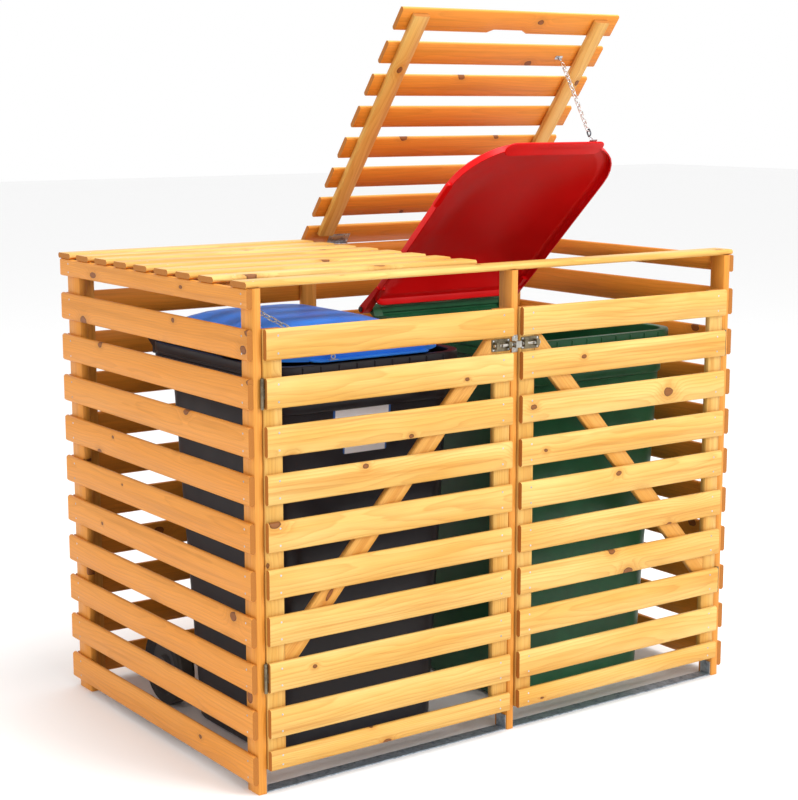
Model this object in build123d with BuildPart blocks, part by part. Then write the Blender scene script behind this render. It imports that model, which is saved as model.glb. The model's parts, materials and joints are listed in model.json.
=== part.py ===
"""Timber store for two wheeled refuse bins: slatted housing, lids, doors, latches, chains and both bins.

Millimetres. +Z is up and the ground is z = 0. X runs across the two bays and Y from the doors to the back.
The origin is on the ground at the middle of the outline. The left lid is shut; the right one stands open.
"""
import os
from math import atan2, cos

from build123d import *

# ---- timber sections and pitches
SLAT_W = 70
SLAT_T = 14
SLAT_EDGE_R = 3
SLAT_PITCH = 110
FULL_SLATS = 10
DOOR_FULL_SLATS = 9
TOP_SLAT_LEVEL = 1085
SHORT_SLAT_LOW = 1130
SHORT_SLAT_TOP = 1175
BACK_SHORT_TOP = 1172
DOOR_FOOT_LOW = 57
DOOR_FOOT_TOP = 104

# ---- housing outline
HALF_W = 760
FRONT_Y = -500
POST_Y = -483
BACK_Y = 482
POST_TOP = 1176
POST_DEPTH = 50
POST_IN_X = 724
MID_POST_HALF = 10
REAR_POST_IN_X = 726
REAR_POST_DEPTH = 70
BATTEN_W = 48
BATTEN_T = 17
HEADER_SETBACK = 3

# ---- lids and their hinges
LID_BOARDS = 8
LID_PITCH = 108
LID_REAR_Y = 492
LID_GAP_X = 1.5
LID_BATTEN_T = 16
LID_BATTEN_W = 50
LID_BATTEN_X = (60, 693)
LID_BATTEN_FRONT_Y = -322
LID_BATTEN_REAR_Y = 442
NOTCH_LONG = 140
NOTCH_SHORT = 100
NOTCH_DEEP = 10
LID_AXIS_Y = 487
LID_AXIS_Z = 1170
LID_OPEN = 52
LID_HINGE_X = (120, 640)

# ---- doors
DOOR_OUT_X = 721
DOOR_IN_X = 15
BRACE_W = 50
BRACE_LOW_Z = 310
BRACE_HIGH_Z = 1000
DOOR_AXIS_X = 727.5
DOOR_AXIS_Y = -490
DOOR_HINGE_Z = (280, 940)

# ---- sheet metal, hinges, latch
HINGE_L = 70
KNUCKLE_R = 4
PIN_R = 2
RUN_GAP = 0.05
KNUCKLE_GAP = 0.4
LEAF_T = 1
LEAF_DEPTH = 15
LID_LEAF_T = 1.5
LID_LEAF_DEPTH = 36
STRIP_W = 35
STRIP_T = 3
STRIP_TAB = 38
STRIP_Y = -478
LATCH_Z = 995
LATCH_PLATE_X = (17, 75)
LATCH_PLATE_H = 30
LATCH_PLATE_T = 2
BOLT_R = 4
BOLT_X = (16, 72)
BOLT_Y = -494
KNOB_X = 50
KNOB_R = 4
KNOB_OUT = 10
STAPLE_X = (25, 63)
STAPLE_L = 10
STAPLE_H = 16
KEEPER_HALF = 9
KEEPER_H = 43
KEEPER_PLAY = 0.5
KEEPER_STRAP = 3.5

# ---- wheeled bins
LEFT_BIN_X = -370
RIGHT_BIN_X = 350
BIN_WALL = 4
BIN_FOOT = (470, 445)
BIN_FOOT_Y = -132
BIN_TOP = (524, 560)
BIN_TOP_Y = -120
BIN_BODY_H = 935
BIN_CORNER = 65
RIM_LOW = 930
RIM_TOP = 980
RIM_SIZE = (570, 630)
RIM_Y = -100
RIM_CORNER = 78
LIP_RIBS = 9
BIN_AXIS_Y = 295
BIN_AXIS_Z = 1000
HANDLE_R = 14
BRACKET_X = 230
BRACKET_W = 30
EAR_X = 263
EAR_W = 26
EAR_R = 12
PEG_R = 5
BIN_LID_LOW = 984
BIN_LID_SIZE = (556, 667)
BIN_LID_Y = -71.5
# each step of the dome: height above the rim edge, how far it is drawn in, y of its middle
DOME_STEPS = ((0, 0, -71.5), (14, 10, -71.5), (44, 130, -55), (64, 235, -45), (72, 330, -40))
BIN_LID_OPEN = 43
LIP_W = 400
LIP_OUT = 24
LIP_T = 5
AXLE_Y = 205
AXLE_Z = 100
AXLE_R = 10
AXLE_HALF = 274
WHEEL_R = 100
WHEEL_W = 46
WHEEL_X = 239
RIB_X = 140
RIB_W = 20
LABEL_T = 1

# ---- chains
CHAIN_X = 609
CHAIN_EYE_REACH = 676
CHAIN_END_DROP = -12.5
WIRE_R = 1.75
LINK_L = 28
LINK_W = 14
LINK_COUNT = 17
HOOK_FROM_BIN = 120
HOOK_L = 30
HOOK_W = 16
HOOK_R = 2
HOOK_GAP = 2
ANCHOR_H = 17
FOLDED = (0.3, 0.9, 0.33)

LID_Z = POST_TOP
LID_FRONT_Y = LID_REAR_Y - (LID_BOARDS - 1) * LID_PITCH - SLAT_W
SIDES = {"left": -1, "right": 1}
BIN_X = {"left": LEFT_BIN_X, "right": RIGHT_BIN_X}
OPEN_SIDE = "right"
BIN_HINGE = Axis((0, BIN_AXIS_Y, BIN_AXIS_Z), (1, 0, 0))
LID_HINGE = Axis((0, LID_AXIS_Y, LID_AXIS_Z), (1, 0, 0))


def write(piece, name):
    piece.label = name
    export_step(piece, f"parts/{name}.step")


def span(a, b):
    """Low end and length of a stretch whose two ends come in either order."""
    return min(a, b), abs(b - a)


def slat_levels(count):
    """Middle heights of the full-width slats, from the top one down."""
    return [TOP_SLAT_LEVEL - SLAT_W / 2 - SLAT_PITCH * row for row in range(count)]


# ---- housing panels
def side_slats(side):
    """Eleven boards running front to back on one end of the housing, the top one narrow."""
    x = SIDES[side] * (HALF_W - SLAT_T / 2)
    with BuildPart() as slats:
        with BuildSketch(Plane.ZX.offset(POST_Y)):
            with Locations(*[(z, x) for z in slat_levels(FULL_SLATS)]):
                RectangleRounded(SLAT_W, SLAT_T, SLAT_EDGE_R)
            with Locations(((SHORT_SLAT_LOW + SHORT_SLAT_TOP) / 2, x)):
                RectangleRounded(SHORT_SLAT_TOP - SHORT_SLAT_LOW, SLAT_T, SLAT_EDGE_R)
        extrude(amount=BACK_Y - POST_Y)
    write(slats.part, f"{side}_side_slats")


def back_slats():
    """Eleven boards across the whole back, between the side boards."""
    length = 2 * (HALF_W - SLAT_T)
    y = BACK_Y - SLAT_T / 2
    with BuildPart() as slats:
        with BuildSketch(Plane.YZ.offset(-length / 2)):
            with Locations(*[(y, z) for z in slat_levels(FULL_SLATS)]):
                RectangleRounded(SLAT_T, SLAT_W, SLAT_EDGE_R)
            with Locations((y, (SHORT_SLAT_LOW + BACK_SHORT_TOP) / 2)):
                RectangleRounded(SLAT_T, BACK_SHORT_TOP - SHORT_SLAT_LOW, SLAT_EDGE_R)
        extrude(amount=length)
    write(slats.part, "back_slats")


def front_posts():
    """Two outer posts behind the ends of the side boards, and one between the doors."""
    for side, sign in SIDES.items():
        middle = sign * (POST_IN_X + HALF_W - SLAT_T) / 2
        with BuildPart() as post:
            with BuildSketch(Plane.XY):
                with Locations((middle, POST_Y + POST_DEPTH / 2)):
                    Rectangle(HALF_W - SLAT_T - POST_IN_X, POST_DEPTH)
            extrude(amount=POST_TOP)
        write(post.part, f"{side}_front_post")
    with BuildPart() as middle_post:
        with BuildSketch(Plane.XY):
            with Locations((0, POST_Y + POST_DEPTH / 2)):
                Rectangle(2 * MID_POST_HALF, POST_DEPTH)
        extrude(amount=POST_TOP)
    write(middle_post.part, "middle_front_post")


def rear_posts():
    """Two posts in the rear corners, against the side boards and in front of the back boards."""
    for side, sign in SIDES.items():
        middle = sign * (REAR_POST_IN_X + HALF_W - SLAT_T) / 2
        rear_y = BACK_Y - SLAT_T
        with BuildPart() as post:
            with BuildSketch(Plane.XY):
                with Locations((middle, rear_y - REAR_POST_DEPTH / 2)):
                    Rectangle(HALF_W - SLAT_T - REAR_POST_IN_X, REAR_POST_DEPTH)
            extrude(amount=BACK_SHORT_TOP)
        write(post.part, f"{side}_rear_post")


def back_battens():
    """Three upright battens that join the back boards on their inner face."""
    low = TOP_SLAT_LEVEL - SLAT_PITCH * (FULL_SLATS - 1) - SLAT_W
    outer = REAR_POST_IN_X - BATTEN_W / 2
    y = BACK_Y - SLAT_T - BATTEN_T / 2
    with BuildPart() as battens:
        with BuildSketch(Plane.XY.offset(low)):
            with Locations((-outer, y), (0, y), (outer, y)):
                Rectangle(BATTEN_W, BATTEN_T)
        extrude(amount=BACK_SHORT_TOP - low)
    write(battens.part, "back_battens")


def header_rail():
    """Flat board over the three front posts."""
    with BuildPart() as header:
        with BuildSketch(Plane.YZ.offset(-HALF_W)):
            with Locations((POST_Y + HEADER_SETBACK + SLAT_W / 2, LID_Z + SLAT_T / 2)):
                RectangleRounded(SLAT_W, SLAT_T, SLAT_EDGE_R)
        extrude(amount=2 * HALF_W)
    write(header.part, "header_rail")


def thresholds():
    """Steel strips on the ground across each bay, their ends turned up against the posts."""
    for side, sign in SIDES.items():
        outer = sign * POST_IN_X
        inner = sign * MID_POST_HALF
        low, length = span(outer, inner)
        with BuildPart() as strip:
            with BuildSketch(Plane.XZ.offset(-STRIP_Y)):
                with Locations((low + length / 2, STRIP_TAB / 2)):
                    Rectangle(length, STRIP_TAB)
                with Locations((low + length / 2, STRIP_TAB / 2 + STRIP_T)):
                    Rectangle(length - 2 * STRIP_T, STRIP_TAB, mode=Mode.SUBTRACT)
            extrude(amount=-STRIP_W)
        write(strip.part, f"{side}_threshold")


# ---- hinges
def knuckle_parts(length):
    """Start and length of the three knuckles along the pin: end, middle, end."""
    third = length / 3
    starts = (-length / 2, -third / 2 + KNUCKLE_GAP, third / 2)
    return [(starts[0], third), (starts[1], third - 2 * KNUCKLE_GAP), (starts[2], third)]


def pin_leaf(plane, length, plate, tongue):
    """Leaf with the two end knuckles and the pin; the plane's own Z runs along the pin."""
    ends = [knuckle_parts(length)[i] for i in (0, 2)]
    with BuildPart() as fixed:
        for start, run in ends:
            with BuildSketch(plane.offset(start)):
                Circle(KNUCKLE_R)
                tongue()
            extrude(amount=run)
        with BuildSketch(plane.offset(-length / 2)):
            Circle(PIN_R)
            plate()
        extrude(amount=length)
    return fixed.part


def sleeve_leaf(plane, length, plate, tongue):
    """Leaf with the middle knuckle, bored to turn on the pin."""
    start, run = knuckle_parts(length)[1]
    with BuildPart() as moving:
        with BuildSketch(plane.offset(start)):
            Circle(KNUCKLE_R)
            tongue()
            Circle(PIN_R + RUN_GAP, mode=Mode.SUBTRACT)
        extrude(amount=run)
        with BuildSketch(plane.offset(-length / 2)):
            plate()
        extrude(amount=length)
    return moving.part


def patch(x, y):
    """Filled rectangle in the sketch at hand, between two x values and two y values."""
    with Locations(((x[0] + x[1]) / 2, (y[0] + y[1]) / 2)):
        Rectangle(abs(x[1] - x[0]), abs(y[1] - y[0]))


def door_hinges(side):
    """Two butt hinges: one leaf on the post's inner face, the other on the edge of the door batten."""
    sign = SIDES[side]
    post_face = sign * (POST_IN_X - DOOR_AXIS_X)
    batten_face = sign * (DOOR_OUT_X - DOOR_AXIS_X)
    post_front = POST_Y - DOOR_AXIS_Y
    batten_front = FRONT_Y + SLAT_T - DOOR_AXIS_Y
    on_post = (post_face - sign * LEAF_T, post_face)
    on_batten = (batten_face, batten_face + sign * LEAF_T)

    def post_plate():
        patch(on_post, (post_front, post_front + LEAF_DEPTH))

    def post_tongue():
        patch(on_post, (0, post_front))

    def batten_plate():
        patch(on_batten, (batten_front, batten_front + LEAF_DEPTH))

    def batten_tongue():
        patch(on_batten, (-LEAF_T, batten_front))
        patch((batten_face, post_face), (-LEAF_T, LEAF_T))

    fixed = []
    moving = []
    for z in DOOR_HINGE_Z:
        plane = Plane(origin=(sign * DOOR_AXIS_X, DOOR_AXIS_Y, z))
        fixed.append(pin_leaf(plane, HINGE_L, post_plate, post_tongue))
        moving.append(sleeve_leaf(plane, HINGE_L, batten_plate, batten_tongue))
    write(Compound(children=fixed), f"{side}_door_fixed_leaves")
    write(Compound(children=moving), f"{side}_door_hinge_leaves")


def lid_hinges(side):
    """Two butt hinges: one leaf on the back of the top board, the other under the rear lid board."""
    sign = SIDES[side]
    back_face = BACK_Y - LID_AXIS_Y
    lid_face = LID_Z - LID_AXIS_Z

    def back_plate():
        patch((back_face, back_face + LID_LEAF_T), (-LID_LEAF_DEPTH, -KNUCKLE_R))

    def back_tongue():
        patch((back_face, back_face + LID_LEAF_T), (-KNUCKLE_R, 0))

    def lid_plate():
        patch((-LID_LEAF_DEPTH, LEAF_T), (lid_face - LID_LEAF_T, lid_face))

    def lid_tongue():
        patch((-LID_LEAF_T, LEAF_T), (KNUCKLE_R - LEAF_T, lid_face - LEAF_T))

    fixed = []
    moving = []
    for x in LID_HINGE_X:
        plane = Plane(origin=(sign * x, LID_AXIS_Y, LID_AXIS_Z), x_dir=(0, 1, 0), z_dir=(1, 0, 0))
        fixed.append(pin_leaf(plane, HINGE_L, back_plate, back_tongue))
        moving.append(sleeve_leaf(plane, HINGE_L, lid_plate, lid_tongue))
    write(Compound(children=fixed), f"{side}_lid_fixed_leaves")
    write(lid_pose(Compound(children=moving), side), f"{side}_lid_hinge_leaves")


# ---- wooden lids
def lid_pose(piece, side):
    """A piece of a timber lid, drawn shut, turned to where that lid rests."""
    return piece.rotate(LID_HINGE, -LID_OPEN) if side == OPEN_SIDE else piece


def lid_boards(side):
    """Eight boards across the bay; the front one has a finger notch in its rear edge."""
    start, length = span(SIDES[side] * LID_GAP_X, SIDES[side] * HALF_W)
    rows = [LID_REAR_Y - SLAT_W / 2 - LID_PITCH * i for i in range(LID_BOARDS)]
    notch_y = LID_FRONT_Y + SLAT_W
    with BuildPart() as boards:
        with BuildSketch(Plane.YZ.offset(start)):
            with Locations(*[(y, LID_Z + SLAT_T / 2) for y in rows]):
                RectangleRounded(SLAT_W, SLAT_T, SLAT_EDGE_R)
        extrude(amount=length)
        with BuildSketch(Plane.XY.offset(LID_Z)):
            with BuildLine():
                Polyline(
                    (start + length / 2 - NOTCH_LONG / 2, notch_y),
                    (start + length / 2 - NOTCH_SHORT / 2, notch_y - NOTCH_DEEP),
                    (start + length / 2 + NOTCH_SHORT / 2, notch_y - NOTCH_DEEP),
                    (start + length / 2 + NOTCH_LONG / 2, notch_y),
                    close=True,
                )
            make_face()
        extrude(amount=SLAT_T, mode=Mode.SUBTRACT)
    write(lid_pose(boards.part, side), f"{side}_lid_boards")


def lid_battens(side):
    """Two battens under the lid boards, front to back."""
    middle_y = (LID_BATTEN_FRONT_Y + LID_BATTEN_REAR_Y) / 2
    with BuildPart() as battens:
        with BuildSketch(Plane.XY.offset(LID_Z - LID_BATTEN_T)):
            with Locations(*[(SIDES[side] * x, middle_y) for x in LID_BATTEN_X]):
                Rectangle(LID_BATTEN_W, LID_BATTEN_REAR_Y - LID_BATTEN_FRONT_Y)
        extrude(amount=LID_BATTEN_T)
    write(lid_pose(battens.part, side), f"{side}_lid_battens")


def lid_chain_eye(side):
    """Small plate with a hanging ring under the lid, where the chain's upper end belongs."""
    x = SIDES[side] * CHAIN_X
    y = LID_AXIS_Y - CHAIN_EYE_REACH
    ring_r = 5
    with BuildPart() as eye:
        with BuildSketch(Plane.XY.offset(LID_Z - LEAF_T)):
            with Locations((x, y)):
                RectangleRounded(26, 12, 3)
        extrude(amount=LEAF_T)
        with Locations(Location((x, y, LID_Z - LEAF_T - ring_r - WIRE_R / 2), (90, 0, 0))):
            Torus(ring_r, WIRE_R)
    write(lid_pose(eye.part, side), f"{side}_lid_chain_eye")


# ---- doors and their latch
def door_slats(side):
    """Nine full boards and a narrow one at the foot."""
    start, length = span(SIDES[side] * DOOR_OUT_X, SIDES[side] * DOOR_IN_X)
    y = FRONT_Y + SLAT_T / 2
    with BuildPart() as slats:
        with BuildSketch(Plane.YZ.offset(start)):
            with Locations(*[(y, z) for z in slat_levels(DOOR_FULL_SLATS)]):
                RectangleRounded(SLAT_T, SLAT_W, SLAT_EDGE_R)
            with Locations((y, (DOOR_FOOT_LOW + DOOR_FOOT_TOP) / 2)):
                RectangleRounded(SLAT_T, DOOR_FOOT_TOP - DOOR_FOOT_LOW, SLAT_EDGE_R)
        extrude(amount=length)
    write(slats.part, f"{side}_door_slats")


def door_battens(side):
    """Two upright battens behind the door boards, flush with their ends."""
    y = FRONT_Y + SLAT_T + BATTEN_T / 2
    middles = [DOOR_OUT_X - BATTEN_W / 2, DOOR_IN_X + BATTEN_W / 2]
    with BuildPart() as battens:
        with BuildSketch(Plane.XY.offset(DOOR_FOOT_LOW)):
            with Locations(*[(SIDES[side] * x, y) for x in middles]):
                Rectangle(BATTEN_W, BATTEN_T)
        extrude(amount=TOP_SLAT_LEVEL - DOOR_FOOT_LOW)
    write(battens.part, f"{side}_door_battens")


def door_brace(side):
    """Slanting brace between the battens, low at the hinges and high at the latch."""
    sign = SIDES[side]
    outer = sign * (DOOR_OUT_X - BATTEN_W)
    inner = sign * (DOOR_IN_X + BATTEN_W)
    slope = atan2(BRACE_HIGH_Z - BRACE_LOW_Z, abs(outer - inner))
    half = BRACE_W / 2 / cos(slope)
    with BuildPart() as brace:
        with BuildSketch(Plane.XZ.offset(-(FRONT_Y + SLAT_T))):
            with BuildLine():
                Polyline(
                    (outer, BRACE_LOW_Z - half),
                    (outer, BRACE_LOW_Z + half),
                    (inner, BRACE_HIGH_Z + half),
                    (inner, BRACE_HIGH_Z - half),
                    close=True,
                )
            make_face()
        extrude(amount=-BATTEN_T)
    write(brace.part, f"{side}_door_brace")


def latch_plate(side):
    """Plate on the door batten with two staples that guide the bolt."""
    sign = SIDES[side]
    face_y = FRONT_Y + SLAT_T
    plate_mid = sign * (LATCH_PLATE_X[0] + LATCH_PLATE_X[1]) / 2
    with BuildPart() as plate:
        with BuildSketch(Plane.XZ.offset(-face_y)):
            with Locations((plate_mid, LATCH_Z)):
                RectangleRounded(LATCH_PLATE_X[1] - LATCH_PLATE_X[0], LATCH_PLATE_H, SLAT_EDGE_R)
        extrude(amount=LATCH_PLATE_T)
        for x in STAPLE_X:
            with BuildSketch(Plane.YZ.offset(sign * x - STAPLE_L / 2)):
                with Locations((BOLT_Y, LATCH_Z)):
                    Rectangle(2 * (face_y - LATCH_PLATE_T - BOLT_Y), STAPLE_H)
                    Circle(BOLT_R + RUN_GAP, mode=Mode.SUBTRACT)
            extrude(amount=STAPLE_L)
    write(plate.part, f"{side}_latch_plate")


def latch_bolt(side):
    """Round bolt that slides in the staples, with a knob to push it by."""
    start, length = span(SIDES[side] * BOLT_X[0], SIDES[side] * BOLT_X[1])
    with BuildPart() as bolt:
        with BuildSketch(Plane.YZ.offset(start)):
            with Locations((BOLT_Y, LATCH_Z)):
                Circle(BOLT_R)
        extrude(amount=length)
        with BuildSketch(Plane.XZ.offset(-BOLT_Y)):
            with Locations((SIDES[side] * KNOB_X, LATCH_Z)):
                Circle(KNOB_R - 1)
        extrude(amount=KNOB_OUT)
    write(bolt.part, f"{side}_latch_bolt")


def latch_keeper():
    """Plate on the middle post and a strap bent over it, which leaves a square socket for both bolts."""
    socket = BOLT_R + KEEPER_PLAY
    outside = socket + KEEPER_STRAP
    plate_y = POST_Y - LATCH_PLATE_T
    walls = [
        ((POST_Y, plate_y), (LATCH_Z - KEEPER_H / 2, LATCH_Z + KEEPER_H / 2)),
        ((plate_y, BOLT_Y - outside), (LATCH_Z + socket, LATCH_Z + outside)),
        ((plate_y, BOLT_Y - outside), (LATCH_Z - outside, LATCH_Z - socket)),
        ((BOLT_Y - socket, BOLT_Y - outside), (LATCH_Z - socket, LATCH_Z + socket)),
    ]
    pieces = []
    for y, z in walls:
        with BuildPart() as wall:
            with BuildSketch(Plane.YZ.offset(-KEEPER_HALF)):
                patch(y, z)
            extrude(amount=2 * KEEPER_HALF)
        pieces.append(wall.part)
    write(Compound(children=pieces), "latch_keeper")


# ---- wheeled bins
def bin_body(side):
    """Tapered hollow body with rim, ribbed front lip, handle bar, hinge brackets and axle ribs."""
    cx = BIN_X[side]
    floor = Plane(origin=(cx, BIN_FOOT_Y, 0))
    top = Plane(origin=(cx, BIN_TOP_Y, BIN_BODY_H))
    inner_floor = Plane(origin=(cx, BIN_FOOT_Y, BIN_WALL))
    inner_top = Plane(origin=(cx, BIN_TOP_Y, RIM_TOP + 1))
    rim_front = RIM_Y - RIM_SIZE[1] / 2
    rim_rear = RIM_Y + RIM_SIZE[1] / 2
    wall = 2 * BIN_WALL
    with BuildPart() as body:
        with BuildSketch(floor):
            RectangleRounded(*BIN_FOOT, BIN_CORNER)
        with BuildSketch(top):
            RectangleRounded(*BIN_TOP, BIN_CORNER)
        loft()
        with BuildSketch(Plane(origin=(cx, RIM_Y, RIM_LOW))):
            RectangleRounded(*RIM_SIZE, RIM_CORNER)
        extrude(amount=RIM_TOP - RIM_LOW)
        for x in (-BRACKET_X, BRACKET_X):
            with BuildSketch(Plane.YZ.offset(cx + x - BRACKET_W / 2)):
                with BuildLine():
                    Polyline(
                        (rim_rear - wall, RIM_LOW),
                        (rim_rear - wall, RIM_TOP),
                        (BIN_AXIS_Y - 2 * EAR_R, RIM_TOP),
                        (BIN_AXIS_Y - EAR_R / 2, BIN_AXIS_Z),
                        (BIN_AXIS_Y + EAR_R / 2, BIN_AXIS_Z - EAR_R + 2),
                        close=True,
                    )
                make_face()
                with Locations((BIN_AXIS_Y, BIN_AXIS_Z)):
                    Circle(EAR_R + 1)
            extrude(amount=BRACKET_W)
        for x in (-RIB_X, RIB_X):
            with BuildSketch(Plane.YZ.offset(cx + x - RIB_W / 2)):
                with BuildLine():
                    Polyline(
                        (0, AXLE_Z - 3 * AXLE_R),
                        (0, AXLE_Z + 2 * WHEEL_R),
                        (BIN_FOOT_Y + BIN_FOOT[1] / 2, AXLE_Z + 2 * WHEEL_R),
                        (AXLE_Y + 2 * AXLE_R, AXLE_Z + AXLE_R),
                        (AXLE_Y + 2 * AXLE_R, AXLE_Z - 2 * AXLE_R),
                        (AXLE_Y - AXLE_R, AXLE_Z - 3 * AXLE_R),
                        close=True,
                    )
                make_face()
            extrude(amount=RIB_W)
        for i in range(LIP_RIBS):
            x = (i - (LIP_RIBS - 1) / 2) * RIM_SIZE[0] * 0.8 / LIP_RIBS
            with BuildSketch(Plane(origin=(cx + x, rim_front + BIN_WALL, RIM_LOW + 2 * BIN_WALL))):
                Rectangle(BIN_WALL, 2 * BIN_WALL)
            extrude(amount=RIM_TOP - RIM_LOW - 4 * BIN_WALL)
        with BuildSketch(inner_floor):
            RectangleRounded(BIN_FOOT[0] - wall, BIN_FOOT[1] - wall, BIN_CORNER - BIN_WALL)
        with BuildSketch(inner_top):
            RectangleRounded(BIN_TOP[0] - wall, BIN_TOP[1] - wall, BIN_CORNER - BIN_WALL)
        loft(mode=Mode.SUBTRACT)
        with BuildSketch(Plane.YZ.offset(cx - BRACKET_X)):
            with Locations((BIN_AXIS_Y, BIN_AXIS_Z)):
                Circle(HANDLE_R)
        extrude(amount=2 * BRACKET_X)
        with BuildSketch(Plane.YZ.offset(cx - AXLE_HALF)):
            with Locations((AXLE_Y, AXLE_Z)):
                Circle(AXLE_R + RUN_GAP)
        extrude(amount=2 * AXLE_HALF, mode=Mode.SUBTRACT)
        for x in (-BRACKET_X - BRACKET_W, BRACKET_X - BRACKET_W / 2):
            with BuildSketch(Plane.YZ.offset(cx + x)):
                with Locations((BIN_AXIS_Y, BIN_AXIS_Z)):
                    Circle(PEG_R + RUN_GAP)
            extrude(amount=3 * BRACKET_W / 2, mode=Mode.SUBTRACT)
    write(body.part, f"{side}_bin_body")


def bin_pegs(side):
    """Two pegs with heads that carry the bin lid in the brackets."""
    cx = BIN_X[side]
    inner = BRACKET_X - BRACKET_W / 2
    ear_out = EAR_X + EAR_W / 2
    with BuildPart() as pegs:
        for sign in (-1, 1):
            start, length = span(sign * inner, sign * (ear_out + 2))
            with BuildSketch(Plane.YZ.offset(cx + start)):
                with Locations((BIN_AXIS_Y, BIN_AXIS_Z)):
                    Circle(PEG_R)
            extrude(amount=length)
            start, length = span(sign * (ear_out + 1), sign * (ear_out + BIN_WALL))
            with BuildSketch(Plane.YZ.offset(cx + start)):
                with Locations((BIN_AXIS_Y, BIN_AXIS_Z)):
                    Circle(EAR_R - BIN_WALL)
            extrude(amount=length)
    write(pegs.part, f"{side}_bin_pegs")


def bin_axle(side):
    """Steel axle through the ribs, with a cap at each end."""
    cx = BIN_X[side]
    with BuildPart() as axle:
        with BuildSketch(Plane.YZ.offset(cx - AXLE_HALF)):
            with Locations((AXLE_Y, AXLE_Z)):
                Circle(AXLE_R)
        extrude(amount=2 * AXLE_HALF)
        for start in (-AXLE_HALF, AXLE_HALF - BIN_WALL):
            with BuildSketch(Plane.YZ.offset(cx + start)):
                with Locations((AXLE_Y, AXLE_Z)):
                    Circle(AXLE_R + 2 * BIN_WALL)
            extrude(amount=BIN_WALL)
    write(axle.part, f"{side}_bin_axle")


def bin_wheels(side):
    """Two solid-tyred wheels with a dished centre."""
    half = WHEEL_W / 2
    dish = half - 3 * BIN_WALL
    for name, sign in SIDES.items():
        cx = BIN_X[side] + sign * WHEEL_X
        with BuildPart() as wheel:
            with BuildSketch(Plane.XZ):
                with BuildLine():
                    Polyline(
                        (AXLE_R + RUN_GAP, -half),
                        (3 * AXLE_R, -half),
                        (3 * AXLE_R + BIN_WALL, -dish),
                        (WHEEL_R - 3 * AXLE_R, -dish),
                        (WHEEL_R - 3 * AXLE_R + BIN_WALL, -half),
                        (WHEEL_R - BIN_WALL, -half),
                        (WHEEL_R, -half + 2 * BIN_WALL),
                        (WHEEL_R, half - 2 * BIN_WALL),
                        (WHEEL_R - BIN_WALL, half),
                        (WHEEL_R - 3 * AXLE_R + BIN_WALL, half),
                        (WHEEL_R - 3 * AXLE_R, dish),
                        (3 * AXLE_R + BIN_WALL, dish),
                        (3 * AXLE_R, half),
                        (AXLE_R + RUN_GAP, half),
                        close=True,
                    )
                make_face()
            revolve(axis=Axis.Z)
        seat = Plane(origin=(cx, AXLE_Y, AXLE_Z), x_dir=(0, 1, 0), z_dir=(1, 0, 0))
        write(wheel.part.moved(seat.location), f"{side}_bin_wheel_{name}")


def bin_lid_pose(piece, side):
    """A piece of a bin lid, drawn shut, turned to where that lid rests."""
    return piece.rotate(BIN_HINGE, -BIN_LID_OPEN) if side == OPEN_SIDE else piece


def dome(cx, inset, drop, low):
    """Stepped and lofted dome of a bin lid, drawn in by a wall all round."""
    width, depth = BIN_LID_SIZE
    with BuildPart(mode=Mode.PRIVATE) as shape:
        for height, draw, y in DOME_STEPS:
            z = BIN_LID_LOW + (height - drop if height else low)
            size = (width - draw - inset, depth - draw - inset)
            with BuildSketch(Plane(origin=(cx, y, z))):
                RectangleRounded(*size, RIM_CORNER - inset / 2)
        loft(ruled=True)
    return shape.part


def bin_lid(side):
    """Domed hollow lid with two ears on the pegs and a lip in front."""
    cx = BIN_X[side]
    front = BIN_LID_Y - BIN_LID_SIZE[1] / 2
    rear = BIN_LID_Y + BIN_LID_SIZE[1] / 2
    with BuildPart() as lid:
        add(dome(cx, 0, 0, 0))
        with BuildSketch(Plane(origin=(cx, front, BIN_LID_LOW))):
            RectangleRounded(LIP_W, 2 * LIP_OUT, BIN_CORNER / 3)
        extrude(amount=LIP_T)
        for x in (-EAR_X, EAR_X):
            with BuildSketch(Plane.YZ.offset(cx + x - EAR_W / 2)):
                with BuildLine():
                    Polyline(
                        (rear - RIM_CORNER, BIN_LID_LOW + BIN_WALL),
                        (rear - RIM_CORNER, BIN_LID_LOW + 3 * BIN_WALL),
                        (BIN_AXIS_Y, BIN_AXIS_Z + EAR_R),
                        (BIN_AXIS_Y, BIN_AXIS_Z - EAR_R),
                        close=True,
                    )
                make_face()
                with Locations((BIN_AXIS_Y, BIN_AXIS_Z)):
                    Circle(EAR_R)
                    Circle(PEG_R + RUN_GAP, mode=Mode.SUBTRACT)
            extrude(amount=EAR_W)
        add(dome(cx, 2 * BIN_WALL, BIN_WALL, -1), mode=Mode.SUBTRACT)
    write(bin_lid_pose(lid.part, side), f"{side}_bin_lid")


def bin_labels():
    """Two plain plates on the front of the left bin."""
    for number, (x, z, width, height) in enumerate(((-395, 865, 165, 55), (-385, 775, 125, 40)), 1):
        lean = (BIN_TOP[1] / 2 - BIN_TOP_Y - BIN_FOOT[1] / 2 + BIN_FOOT_Y) / BIN_BODY_H
        face_y = BIN_FOOT_Y - BIN_FOOT[1] / 2 - lean * z
        plane = Plane(origin=(x, face_y, z), x_dir=(1, 0, 0), z_dir=(0, -1, -lean))
        with BuildPart() as label:
            with BuildSketch(plane):
                RectangleRounded(width, height, BIN_WALL)
            extrude(amount=LABEL_T)
        write(label.part, f"left_bin_label_{number}")


# ---- chains between the two lids of each bay
def turned(point, axis, angle):
    """Point turned about an axis by an angle in degrees."""
    return (point - axis.position).rotate(axis, angle) + axis.position


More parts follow.
